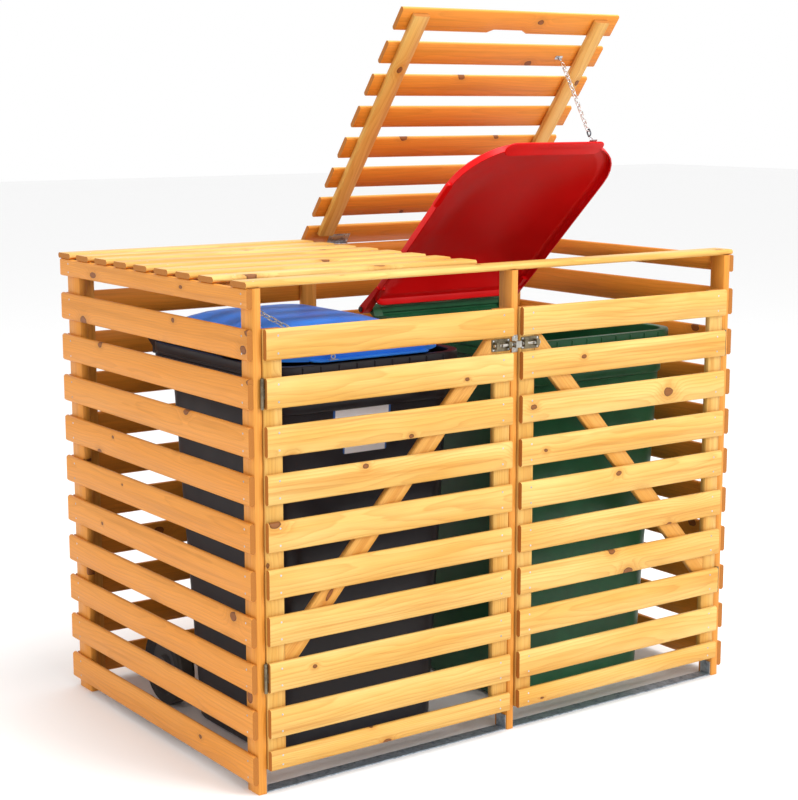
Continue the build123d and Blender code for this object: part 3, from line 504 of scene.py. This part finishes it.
def moulded_surface():
    """Fine spark-eroded grain, soft shine patches and handling scuffs of a moulded shell."""
    tree, given, out = new_group(
        "ShaderNodeTree",
        "moulded surface",
        [("Place", "NodeSocketVector", None), ("Rough", "NodeSocketFloat", 0.4)],
        [("Shade", "NodeSocketFloat"), ("Roughness", "NodeSocketFloat"), ("Height", "NodeSocketFloat")],
    )
    cloud = noise(tree, given["Place"], 7.0, 4.0, 0.6)
    stretched = vector_maths(tree, "MULTIPLY", given["Place"], (40.0, 150.0, 12.0))
    scuff = remap(tree, noise(tree, stretched, 1.0, 5.0, 0.7), 0.60, 0.78)
    pits = noise(tree, given["Place"], 900.0, 2.0)
    wave = noise(tree, given["Place"], 5.0, 1.0)
    shade = maths(tree, "ADD", remap(tree, cloud, 0.3, 0.7, 0.0, 0.75), maths(tree, "MULTIPLY", scuff, 0.25))
    tree.links.new(shade, out["Shade"])
    spread = maths(tree, "ADD", remap(tree, cloud, 0.3, 0.7, -0.05, 0.06), maths(tree, "MULTIPLY", scuff, 0.16))
    tree.links.new(maths(tree, "ADD", given["Rough"], spread), out["Roughness"])
    tree.links.new(maths(tree, "ADD", maths(tree, "MULTIPLY", pits, 0.06), wave), out["Height"])
    return tree


MOULDED = moulded_surface()


def own_place(tree):
    return put(tree, "ShaderNodeTexCoord").outputs["Object"]


def shaded_material(title, group, dark, light, rough, depth, metallic=0.0, gloss=0.5):
    """A material whose group shifts the colour between two shades and varies the shine."""
    made, tree, shader = new_material(title)
    fill = put(tree, "ShaderNodeGroup", [], node_tree=group)
    tree.links.new(own_place(tree), fill.inputs["Place"])
    fill.inputs["Rough"].default_value = rough
    colour = mix_colours(tree, fill.outputs["Shade"], (*dark, 1), (*light, 1))
    finish_surface(tree, shader, fill, depth, colour)
    shader.inputs["Metallic"].default_value = metallic
    shader.inputs["Specular IOR Level"].default_value = gloss
    return made


body_paints = {
    "left": shaded_material("black polyethylene", MOULDED,
                            (0.006, 0.005, 0.009), (0.016, 0.015, 0.022), 0.42, 0.0006),
    "right": shaded_material("green polyethylene", MOULDED,
                             (0.006, 0.085, 0.028), (0.014, 0.140, 0.052), 0.38, 0.0005),
}


def rounded_ring(half_x, half_y, corner, middle, z, bow=0.0, rear_corner=None):
    """Points round an oblong with round corners, the rear pair of their own radius if one is given.

    The bow pushes the front edge outwards in the middle.
    """
    arcs = []
    for quarter, (side, end) in enumerate(((1, 1), (-1, 1), (-1, -1), (1, -1))):
        radius = rear_corner if rear_corner and end > 0 else corner
        radius = min(radius, half_x * 0.98, half_y * 0.98)
        hub = Vector((side * (half_x - radius), end * (half_y - radius), 0))
        turns = [pi / 2 * (quarter + step / CORNER_STEPS) for step in range(CORNER_STEPS + 1)]
        arcs.append([hub + radius * Vector((cos(t), sin(t), 0)) for t in turns])
    points = []
    for quarter, arc in enumerate(arcs):
        start, end = arc[-1], arcs[(quarter + 1) % 4][0]
        points += arc + [start.lerp(end, step / SIDE_STEPS) for step in range(1, SIDE_STEPS)]
    for point in points:
        if point.y < 0:
            point.y -= bow * (1 - (point.x / half_x) ** 2) * (point.y / half_y) ** 4
    return [point + Vector((middle[0], middle[1], z)) for point in points]


def loft(shape, rings, closed=False):
    """Skin over rings of equal count, capped at both ends unless the rings close on themselves."""
    made = [[shape.verts.new(point) for point in ring] for ring in rings]
    pairs = list(zip(made, made[1:] + made[:1] if closed else made[1:]))
    for low, high in pairs:
        for i in range(len(low)):
            j = (i + 1) % len(low)
            shape.faces.new((low[i], low[j], high[j], high[i]))
    if not closed:
        shape.faces.new(made[0][::-1])
        shape.faces.new(made[-1])


def prism(shape, outline, x0, x1, cut=0.0):
    """A plate of one outline in y and z, from x0 to x1, with its long edges broken by cut."""
    centre = sum((Vector((0, *p)) for p in outline), Vector()) / len(outline)
    rings = []
    for x, draw in ((x0, cut), (x0 + cut, 0), (x1 - cut, 0), (x1, cut)) if cut else ((x0, 0), (x1, 0)):
        ring = []
        for y, z in outline:
            point = Vector((0, y, z))
            inward = (centre - point).normalized() * draw
            ring.append(point + inward + Vector((x, 0, 0)))
        rings.append(ring)
    loft(shape, rings)


def disc(y, z, radius, start=0.0, end=2 * pi, steps=24):
    """Points of a circle, or part of one, as (y, z)."""
    count = steps if end - start >= 2 * pi else steps + 1
    turns = [start + (end - start) * k / steps for k in range(count)]
    return [(y + radius * cos(turn), z + radius * sin(turn)) for turn in turns]


def finished(title, shape, material, smooth_under=35):
    """The finished mesh object of a shape: outward faces, and soft shading up to an angle."""
    bmesh.ops.recalc_face_normals(shape, faces=shape.faces)
    mesh = bpy.data.meshes.new(title)
    shape.to_mesh(mesh)
    shape.free()
    mesh.shade_smooth()
    mesh.set_sharp_from_angle(angle=radians(smooth_under))
    mesh.materials.append(material)
    piece = bpy.data.objects.new(title, mesh)
    bpy.context.scene.collection.objects.link(piece)
    return piece


def stands_for(piece, body, slot, *nodes):
    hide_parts(*nodes)
    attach(piece, body)


def body_ring(z, out, x, corner=BIN_CORNER):
    """The tapered body's outline at a height, moved outwards by out."""
    t = z / BIN_TOP_Z
    half_x, half_y, y = (foot + (top - foot) * t for foot, top in zip(BIN_FOOT, BIN_TOP))
    return rounded_ring(half_x + out, half_y + out, corner + out, (x, y), z)


for bay in BAYS:
    low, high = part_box(f"{bay}_bin_body")
    x = (low.x + high.x) / 2
    shape = bmesh.new()
    rings = [body_ring(z, out, x) for z, out in (
        (0.0, -0.014), (0.004, -0.005), (0.012, 0.0), (0.10, 0.0), (0.80, 0.0), (0.862, 0.0), (0.865, 0.005),
        (0.868, 0.006), (0.887, 0.006), (0.890, 0.005), (0.892, 0.0015), (0.899, 0.0015), (0.902, 0.007),
        (0.905, 0.008), (0.926, 0.009))]
    rim_middle = (x, RIM_HALF[2])
    rings += [rounded_ring(RIM_HALF[0] + out, RIM_HALF[1] + out, RIM_CORNER + out, rim_middle, z) for z, out in (
        (0.930, -0.003), (0.9325, 0.0), (0.949, 0.0), (0.951, -0.0035), (0.956, -0.0035), (0.958, 0.0),
        (0.976, 0.0), (0.979, -0.0015), (0.980, -0.005))]
    rings += [body_ring(z, out, x, BIN_CORNER) for z, out in (
        (0.980, -0.0015), (0.978, -0.0035), (0.970, -BIN_WALL), (0.80, -BIN_WALL), (0.10, -BIN_WALL),
        (0.020, -BIN_WALL), (0.008, -0.012), (BIN_WALL, -0.030))]
    loft(shape, rings)
    rear = RIM_HALF[2] + RIM_HALF[1] - 2 * BIN_WALL
    y, z = HANDLE_AT
    outline = [(rear, RIM_Z[0] + 0.002), (rear, RIM_Z[1]), (y - 0.024, RIM_Z[1])]
    outline += [p for p in disc(y, z, BRACKET_R, radians(140), radians(-85) + 1e-4, 10)]
    for side in (-1, 1):
        prism(shape, outline, x + side * BRACKET_X[0], x + side * BRACKET_X[1])
        web = x + side * AXLE_RIB_X
        prism(shape, AXLE_RIB, web - AXLE_RIB_T / 2, web + AXLE_RIB_T / 2, 0.002)
    bar = [(-BRACKET_X[0], 0.0), (-0.20, 0.0), (-0.198, 0.0015), (-0.06, 0.0015), (-0.058, 0.0), (0.058, 0.0),
           (0.060, 0.0015), (0.198, 0.0015), (0.20, 0.0), (BRACKET_X[0], 0.0)]
    loft(shape, [[(x + along, *p) for p in disc(y, z, HANDLE_R - 0.0015 + out)] for along, out in bar])
    pitch = (RAIL_Z[1] - RAIL_Z[0]) / RAIL_RIDGES
    outline = [(RAIL_Y[2], RAIL_Z[1]), (RAIL_Y[2], RAIL_Z[0])]
    for z in (RAIL_Z[0] + pitch * ridge for ridge in range(RAIL_RIDGES)):
        outline += [(RAIL_Y[1], z), (RAIL_Y[0], z + RAIL_GROOVE), (RAIL_Y[0], z + pitch - 2 * RAIL_GROOVE),
                    (RAIL_Y[1], z + pitch - RAIL_GROOVE)]
    prism(shape, outline, x - BRACKET_X[0] - 0.001, x + BRACKET_X[0] + 0.001)
    bin_shell = finished(f"{bay}_bin_shell", shape, body_paints[bay])
    stands_for(bin_shell, "housing", f"bin_{'black' if bay == 'left' else 'green'}", f"{bay}_bin_body")
    across = [x + (i - (LIP_RIBS - 1) / 2) * LIP_RIB_PITCH for i in range(LIP_RIBS)]
    points = [((along, low.y + BIN_WALL / 2, LIP_RIB_Z), 1.0) for along in across]
    ribs = grow(f"{bay}_bin_rim_ribs", SAWN_BOARDS, points, Length=0.040, Width=0.004, Thickness=0.0085,
                Edge=0.001, Turn=turn_to(UP, ALONG), Seed=3, Material=body_paints[bay])
    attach(ribs, "housing")

# ---- Bin lids
# A moulded lid with an upright skirt, a ledge behind it and a shallow crown, open and hollow underneath.
# Two ears turn on pegs in the body's brackets, the chain's plate is fixed to the front lip, and a lug
# stands out on the left side.
LID_HALF = (0.278, 0.3335)
LID_WALL = 0.0035
LID_CORNER = 0.150
LID_REAR_CORNER = 0.055
LID_EDGE_Z = 0.984
LID_BOW = 0.006
# each ring of the outside: height over the edge, how far it is drawn in, y of its middle
LID_STEPS = (
    (0.0000, 0.0060, -0.0655), (0.0180, 0.0075, -0.0655), (0.0215, 0.0100, -0.0650), (0.0230, 0.0145, -0.0650),
    (0.0232, 0.0260, -0.0645), (0.0250, 0.0300, -0.0640), (0.0330, 0.0440, -0.0600), (0.0435, 0.0680, -0.0550),
    (0.0530, 0.0900, -0.0500), (0.0630, 0.1190, -0.0450), (0.0695, 0.1500, -0.0420), (0.0720, 0.1800, -0.0400),
    (0.0728, 0.2300, -0.0400),
)
EAR_X = (0.2505, 0.2755)
EAR_R = 0.012
LIP_HALF = (0.168, 0.024)
LIP_CORNER = 0.022
LUG_HALF = (0.010, 0.046)
LUG_CORNER = 0.009
LUG_PLACE = (0.2725, 0.180)
lid_paints = {
    "left": ("lid_blue", shaded_material("blue polyethylene", MOULDED,
                                         (0.020, 0.21, 0.90), (0.032, 0.28, 1.00), 0.36, 0.0004, gloss=0.22)),
    "right": ("lid_red", shaded_material("red polyethylene", MOULDED,
                                         (0.66, 0.002, 0.003), (0.76, 0.003, 0.004), 0.38, 0.0004, gloss=0.20)),
}
for bay in BAYS:
    slot, paint = lid_paints[bay]
    low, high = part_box(f"{bay}_bin_lid")
    x = (low.x + high.x) / 2
    shape = bmesh.new()

    def lid_rings(inset, drop):
        return [rounded_ring(LID_HALF[0] - draw - inset, LID_HALF[1] - draw - inset, LID_CORNER - inset,
                             (x, y), LID_EDGE_Z + max(height - drop, 0), LID_BOW, LID_REAR_CORNER - inset)
                for height, draw, y in LID_STEPS]

    inside, outside = lid_rings(LID_WALL, LID_WALL), lid_rings(0.0, 0.0)
    loft(shape, inside[::-1] + outside)
    front = LID_STEPS[0][2] - LID_HALF[1] + 0.006
    loft(shape, [rounded_ring(LIP_HALF[0] - cut, LIP_HALF[1] - cut, LIP_CORNER, (x, front), LID_EDGE_Z + over)
                 for over, cut in ((0.0, 0.0015), (0.0015, 0.0), (0.0035, 0.0), (0.005, 0.0015))])
    y, z = HANDLE_AT
    rear = LID_STEPS[0][2] + LID_HALF[1]
    for side in (-1, 1):
        outline = [(rear - 0.078, LID_EDGE_Z + 0.004), (rear - 0.078, LID_EDGE_Z + 0.016)]
        outline += disc(y, z, EAR_R, radians(100), radians(-90) + 1e-4, 10)
        prism(shape, outline, x + side * EAR_X[0], x + side * EAR_X[1])
    lug = (x - LUG_PLACE[0], front + LUG_PLACE[1])
    loft(shape, [rounded_ring(LUG_HALF[0] - cut, LUG_HALF[1] - cut, LUG_CORNER, lug, LID_EDGE_Z + over)
                 for over, cut in ((0.001, 0.0015), (0.003, 0.0), (0.010, 0.0), (0.012, 0.0015))])
    shape.transform(open_at_rest(f"{bay}_bin_lid_hinge"))
    stands_for(finished(f"{bay}_bin_cover_shell", shape, paint), f"{bay}_bin_cover", slot, f"{bay}_bin_lid")

# ---- Wheels, axles and lid pegs
# Solid rubber tyres on moulded hubs turn on a zinc-plated steel axle with pressed caps.
# The pegs are black moulded pins pushed through the brackets and ears.
TYRE_FROM = 0.074


def zinc_surface():
    """Faint spangle, cloudy oxide and rubbed bright spots of plated or rolled steel."""
    tree, given, out = new_group(
        "ShaderNodeTree",
        "zinc surface",
        [("Place", "NodeSocketVector", None), ("Rough", "NodeSocketFloat", 0.3)],
        [("Shade", "NodeSocketFloat"), ("Roughness", "NodeSocketFloat"), ("Height", "NodeSocketFloat")],
    )
    spangle = put(tree, "ShaderNodeTexVoronoi", [("Vector", given["Place"]), ("Scale", 150.0)], feature="F1")
    facet = put(tree, "ShaderNodeSeparateColor", [(0, spangle.outputs["Color"])]).outputs[0]
    oxide = remap(tree, noise(tree, given["Place"], 38.0, 5.0, 0.65), 0.42, 0.68)
    speck = noise(tree, given["Place"], 700.0, 3.0)
    shade = maths(tree, "SUBTRACT", maths(tree, "ADD", maths(tree, "MULTIPLY", facet, 0.35), 0.62),
                  maths(tree, "MULTIPLY", oxide, 0.55))
    tree.links.new(shade, out["Shade"])
    spread = maths(tree, "ADD", maths(tree, "MULTIPLY", oxide, 0.28), maths(tree, "MULTIPLY", facet, 0.08))
    tree.links.new(maths(tree, "ADD", given["Rough"], spread), out["Roughness"])
    tree.links.new(maths(tree, "ADD", maths(tree, "MULTIPLY", speck, 0.4), oxide), out["Height"])
    return tree


ZINC = zinc_surface()
zinc = shaded_material("zinc plate", ZINC, (0.22, 0.23, 0.25), (0.66, 0.68, 0.70), 0.26, 0.0003, 1.0)
peg_paint = shaded_material("black moulding", MOULDED,
                            (0.010, 0.010, 0.011), (0.030, 0.030, 0.032), 0.45, 0.0004)


def refinish(material, *nodes):
    """A new finish on CAD nodes that keep their own shape."""
    for node in nodes:
        data = frame["nodes"][node].data
        for i in range(len(data.materials)):
            data.materials[i] = material


def wheel_finish(title, y, z):
    """Dark rubber with a dusty tread outside a radius about the axle, and a moulded hub inside it."""
    made, tree, shader = new_material(title)
    place = own_place(tree)
    fill = put(tree, "ShaderNodeGroup", [("Place", place), ("Rough", 0.55)], node_tree=MOULDED)
    from_hub = vector_maths(tree, "SUBTRACT", place, (0.0, y, z))
    from_axle = vector_maths(tree, "MULTIPLY", from_hub, (0.0, 1.0, 1.0))
    radius = vector_maths(tree, "LENGTH", from_axle)
    tyre = remap(tree, radius, TYRE_FROM - 0.001, TYRE_FROM + 0.001)
    tread = remap(tree, radius, 0.094, 0.101)
    dust = maths(tree, "MULTIPLY", tread, maths(tree, "ADD", fill.outputs["Shade"], 0.25))
    hub = mix_colours(tree, fill.outputs["Shade"], (0.045, 0.046, 0.050, 1), (0.085, 0.086, 0.090, 1))
    rubber = mix_colours(tree, dust, (0.013, 0.013, 0.013, 1), (0.095, 0.085, 0.072, 1))
    finish_surface(tree, shader, fill, 0.0005, mix_colours(tree, tyre, hub, rubber))
    return made


wheel_low, wheel_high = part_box("left_bin_wheel_left")
wheel_paint = wheel_finish("wheel", (wheel_low.y + wheel_high.y) / 2, (wheel_low.z + wheel_high.z) / 2)
for bay in BAYS:
    refinish(wheel_paint, f"{bay}_bin_wheel_left", f"{bay}_bin_wheel_right")
    refinish(zinc, f"{bay}_bin_axle")
    refinish(peg_paint, f"{bay}_bin_pegs")

# ---- Hinges, latches and threshold strips
# Pressed steel butt hinges and a tower bolt, plated and gone dull brassy grey with the weather.
# The threshold strips are rolled steel, bent up against the posts at both ends.
old_brass = shaded_material("weathered plate", ZINC,
                            (0.085, 0.068, 0.040), (0.25, 0.215, 0.145), 0.44, 0.0003, 0.9)
bright_steel = shaded_material("bright steel", ZINC, (0.20, 0.19, 0.17), (0.52, 0.50, 0.45), 0.32, 0.0002, 1.0)
blue_steel = shaded_material("rolled steel", ZINC, (0.16, 0.20, 0.25), (0.50, 0.57, 0.64), 0.38, 0.0003, 0.75)
for bay in BAYS:
    refinish(zinc, f"{bay}_lid_fixed_leaves", f"{bay}_lid_hinge_leaves")
    refinish(old_brass, f"{bay}_latch_plate", f"{bay}_door_fixed_leaves", f"{bay}_door_hinge_leaves")
    refinish(bright_steel, f"{bay}_latch_bolt")
    refinish(blue_steel, f"{bay}_threshold")
refinish(bright_steel, "latch_keeper")

# ---- Chains, hooks and their eyes
# Welded links of bright galvanised wire run from a snap hook on the bin lid's plate to an eye in the lid.
chain_steel = shaded_material("galvanised wire", ZINC,
                              (0.45, 0.45, 0.44), (0.86, 0.86, 0.84), 0.22, 0.0002, 1.0)
hook_steel = shaded_material("oiled steel", ZINC, (0.035, 0.038, 0.045), (0.13, 0.14, 0.16), 0.36, 0.0002, 1.0)
for bay in BAYS:
    refinish(chain_steel, f"{bay}_chain_links")
    refinish(hook_steel, f"{bay}_snap_hook")
    refinish(zinc, f"{bay}_lid_chain_eye", f"{bay}_lip_anchor")

# ---- Labels
# Two plain plates stuck on the left bin, white with a thin blue strip down each side and no lettering.
STRIP_SHARE = 0.035


def label_finish(node):
    made, tree, shader = new_material(node + "_sheet")
    place = own_place(tree)
    low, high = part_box(node)
    fill = put(tree, "ShaderNodeGroup", [("Place", place), ("Rough", 0.38)], node_tree=MOULDED)
    across = put(tree, "ShaderNodeSeparateXYZ", [(0, place)]).outputs[0]
    share = remap(tree, across, low.x, high.x, smooth=False)
    from_edge = maths(tree, "MINIMUM", share, maths(tree, "SUBTRACT", 1.0, share))
    strip = remap(tree, from_edge, STRIP_SHARE - 0.004, STRIP_SHARE + 0.004, 1.0, 0.0)
    sheet = mix_colours(tree, fill.outputs["Shade"], (0.92, 0.92, 0.94, 1), (0.84, 0.84, 0.87, 1))
    blue = mix_colours(tree, fill.outputs["Shade"], (0.03, 0.12, 0.42, 1), (0.06, 0.18, 0.50, 1))
    finish_surface(tree, shader, fill, 0.0002, mix_colours(tree, strip, sheet, blue))
    return made


for node in ("left_bin_label_1", "left_bin_label_2"):
    refinish(label_finish(node), node)

# ---- Nails
# Round wire nails with small domed heads, two through every board where it crosses a post or batten.
# They are driven just home, so only the heads stand out of the wood.
NAIL_R = 0.0026
NAIL_PROUD = 0.0006
NAIL_SPREAD = 0.020
SHORT_SPREAD = 0.011
HEADER_NAIL_Y = (-0.470, -0.446)


def nail_heads():
    """Domed heads on points: round, low, and turned to the face they are driven into."""
    tree, given, out = new_group(
        "GeometryNodeTree",
        "nail heads",
        [
            ("Points", "NodeSocketGeometry", None),
            ("Radius", "NodeSocketFloat", NAIL_R),
            ("Height", "NodeSocketFloat", NAIL_PROUD),
            ("Turn", "NodeSocketVector", (0.0, 0.0, 0.0)),
            ("Seed", "NodeSocketInt", 0),
            ("Material", "NodeSocketMaterial", None),
        ],
        [("Heads", "NodeSocketGeometry")],
    )
    ball = put(tree, "GeometryNodeMeshUVSphere", [("Segments", 10), ("Rings", 6), ("Radius", given["Radius"])])
    flat = maths(tree, "DIVIDE", given["Height"], given["Radius"])
    worn = put(tree, "FunctionNodeRandomValue", [(2, 0.75), (3, 1.0), ("Seed", given["Seed"])],
               data_type="FLOAT")
    squash = put(tree, "ShaderNodeCombineXYZ", [(0, 1.0), (1, 1.0), (2, maths(
        tree, "MULTIPLY", flat, worn.outputs[1]))]).outputs[0]
    turn = put(tree, "FunctionNodeEulerToRotation", [(0, given["Turn"])]).outputs[0]
    laid = put(tree, "GeometryNodeInstanceOnPoints", [("Points", given["Points"]), ("Instance", ball.outputs[0]),
                                                      ("Rotation", turn), ("Scale", squash)]).outputs[0]
    real = put(tree, "GeometryNodeRealizeInstances", [(0, laid)]).outputs[0]
    real = put(tree, "GeometryNodeSetMaterial", [("Geometry", real), ("Material", given["Material"])])
    tree.links.new(real.outputs[0], out[0])
    return tree


NAIL_HEADS = nail_heads()


def drive(title, body, at, face, shut=None, radius=NAIL_R, proud=NAIL_PROUD):
    """Nails at points on one body, their heads facing one way."""
    side = UP if abs(face.z) < 0.5 else ALONG
    heads = grow(title, NAIL_HEADS, [(point, 1.0) for point in at], Turn=turn_to(side, face.cross(side)),
                 Seed=len(at),
                 Radius=radius, Height=proud, Material=zinc)
    heads.data.shade_smooth()
    if shut:
        heads.data.transform(shut)
    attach(heads, body)


levels = [TOP_ROW_Z - BOARD_PITCH * row + side * NAIL_SPREAD for row in range(FULL_ROWS) for side in (-1, 1)]
short_top = [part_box("left_side_slats")[1].z - SIDE_TOP_W / 2 + side * SHORT_SPREAD for side in (-1, 1)]
for bay, sign in BAYS.items():
    low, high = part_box(f"{bay}_side_slats")
    x = low.x if sign < 0 else high.x
    posts = (middle_of(f"{bay}_front_post")[0].y, middle_of(f"{bay}_rear_post")[0].y)
    drive(f"{bay}_side_nails", "housing", [(x, y, z) for y in posts for z in levels + short_top], sign * ALONG)
    middle, size = middle_of(f"{bay}_door_battens")
    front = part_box(f"{bay}_door_slats")[0]
    columns = [middle.x + end * (size.x - 0.062) / 2 for end in (-1, 1)]
    rows = levels[:2 * DOOR_ROWS] + [front.z + FOOT_BOARD_W / 2 + side * SHORT_SPREAD for side in (-1, 1)]
    drive(f"{bay}_door_nails", f"{bay}_door", [(x, front.y, z) for x in columns for z in rows], -ACROSS)
    low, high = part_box("left_lid_boards")
    batten_low, batten_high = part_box("left_lid_battens")
    columns = [-sign * (batten_low.x + LID_BATTEN_W / 2), -sign * (batten_high.x - LID_BATTEN_W / 2)]
    rear = high.y - BOARD_W / 2
    rows = [rear - LID_PITCH * row + side * NAIL_SPREAD for row in range(LID_ROWS) for side in (-1, 1)]
    rows = [y for y in rows if batten_low.y < y < batten_high.y]
    drive(f"{bay}_lid_nails", f"{bay}_lid", [(x, y, high.z) for x in columns for y in rows], UP,
          open_at_rest(f"{bay}_lid_hinge"))
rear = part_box("back_slats")[1].y
columns = [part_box("left_rear_post")[1].x - 0.010, -0.012, 0.012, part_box("right_rear_post")[0].x + 0.010]
drive("back_nails", "housing", [(x, rear, z) for x in columns for z in levels + short_top], ACROSS)
low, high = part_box("header_rail")
columns = [middle_of(f"{name}_front_post")[0].x for name in ("left", "middle", "right")]
drive("header_nails", "housing", [(x, y, high.z) for x in columns for y in HEADER_NAIL_Y], UP)

# ---- Screws
# Small round-headed steel screws hold the bolts' plates, the keeper and the lids' hinge leaves.
# Each goes straight through its plate into the board or post behind it.
SCREW_R = 0.0028
SCREW_PROUD = 0.0011
PLATE_T = 0.002
SCREW_IN = 0.006
SCREW_SPREAD = 0.0105
HINGE_SCREW_R = 0.0034
# where each screw sits on a hinge leaf: share of its length, and distance below its top edge
HINGE_SCREWS = ((0.16, 0.026), (0.5, 0.030), (0.84, 0.026))


def leaf_spans(node, gap=0.03):
    """The x range of each separate leaf of a node."""
    thing = frame["nodes"][node]
    along = sorted((thing.matrix_world @ v.co).x for v in thing.data.vertices)
    starts = [along[0]] + [b for a, b in zip(along, along[1:]) if b - a > gap]
    ends = [a for a, b in zip(along, along[1:]) if b - a > gap] + [along[-1]]
    return list(zip(starts, ends))


for bay in BAYS:
    low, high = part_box(f"{bay}_latch_plate")
    z = (low.z + high.z) / 2
    at = [(x, high.y - PLATE_T, z + side * SCREW_SPREAD)
          for x in (low.x + SCREW_IN, high.x - SCREW_IN) for side in (-1, 1)]
    drive(f"{bay}_latch_screws", f"{bay}_door", at, -ACROSS, radius=SCREW_R, proud=SCREW_PROUD)
    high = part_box(f"{bay}_lid_fixed_leaves")[1]
    at = [(x0 + (x1 - x0) * share, high.y, high.z - drop) for x0, x1 in leaf_spans(f"{bay}_lid_fixed_leaves")
          for share, drop in HINGE_SCREWS]
    drive(f"{bay}_hinge_screws", "housing", at, ACROSS, radius=HINGE_SCREW_R, proud=SCREW_PROUD)
low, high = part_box("latch_keeper")
drive("keeper_screws", "housing", [(0.0, high.y - PLATE_T, z) for z in (low.z + SCREW_IN, high.z - SCREW_IN)],
      -ACROSS, radius=SCREW_R, proud=SCREW_PROUD)

# ---- Studio
# A pale floor, a soft key light from the right of the doors and a wide fill.
stage_mesh = bpy.data.meshes.new("floor")
stage_mesh.from_pydata([(-30, -30, 0), (30, -30, 0), (30, 30, 0), (-30, 30, 0)], [], [(0, 1, 2, 3)])
floor = bpy.data.objects.new("floor", stage_mesh)
bpy.context.scene.collection.objects.link(floor)
floor_paint, tree, shader = new_material("pale floor")
shader.inputs["Base Color"].default_value = (0.93, 0.93, 0.93, 1)
shader.inputs["Roughness"].default_value = 0.9
stage_mesh.materials.append(floor_paint)
world = bpy.data.worlds.new("studio")
bpy.context.scene.world = world
world.use_nodes = True
world.node_tree.nodes["Background"].inputs[0].default_value = (1.0, 1.0, 1.0, 1)
world.node_tree.nodes["Background"].inputs[1].default_value = 1.0


def soft_light(title, place, size, power, colour=(1, 1, 1)):
    lamp = bpy.data.lights.new(title, "AREA")
    lamp.shape, lamp.size, lamp.energy, lamp.color = "DISK", size, power, colour
    made = bpy.data.objects.new(title, lamp)
    made.location = place
    made.rotation_euler = (Vector((0, 0, 0.7)) - Vector(place)).to_track_quat("-Z", "Y").to_euler()
    bpy.context.scene.collection.objects.link(made)


soft_light("key", (1.8, -5.0, 4.2), 2.5, 150)
soft_light("top", (0.3, -1.2, 5.5), 2.5, 140)
soft_light("fill", (-5.0, -1.0, 2.5), 3.5, 30)
bpy.context.scene.view_settings.view_transform = "Standard"
lens = bpy.data.cameras.new("camera")
lens.lens = 77.85
lens.sensor_width = 36.0
camera = bpy.data.objects.new("camera", lens)
camera.location = (-2.6826, -3.7532, 1.5767)
camera.rotation_euler = (radians(90 - 9.718), 0, -radians(35.514))
bpy.context.scene.collection.objects.link(camera)
bpy.context.scene.camera = camera
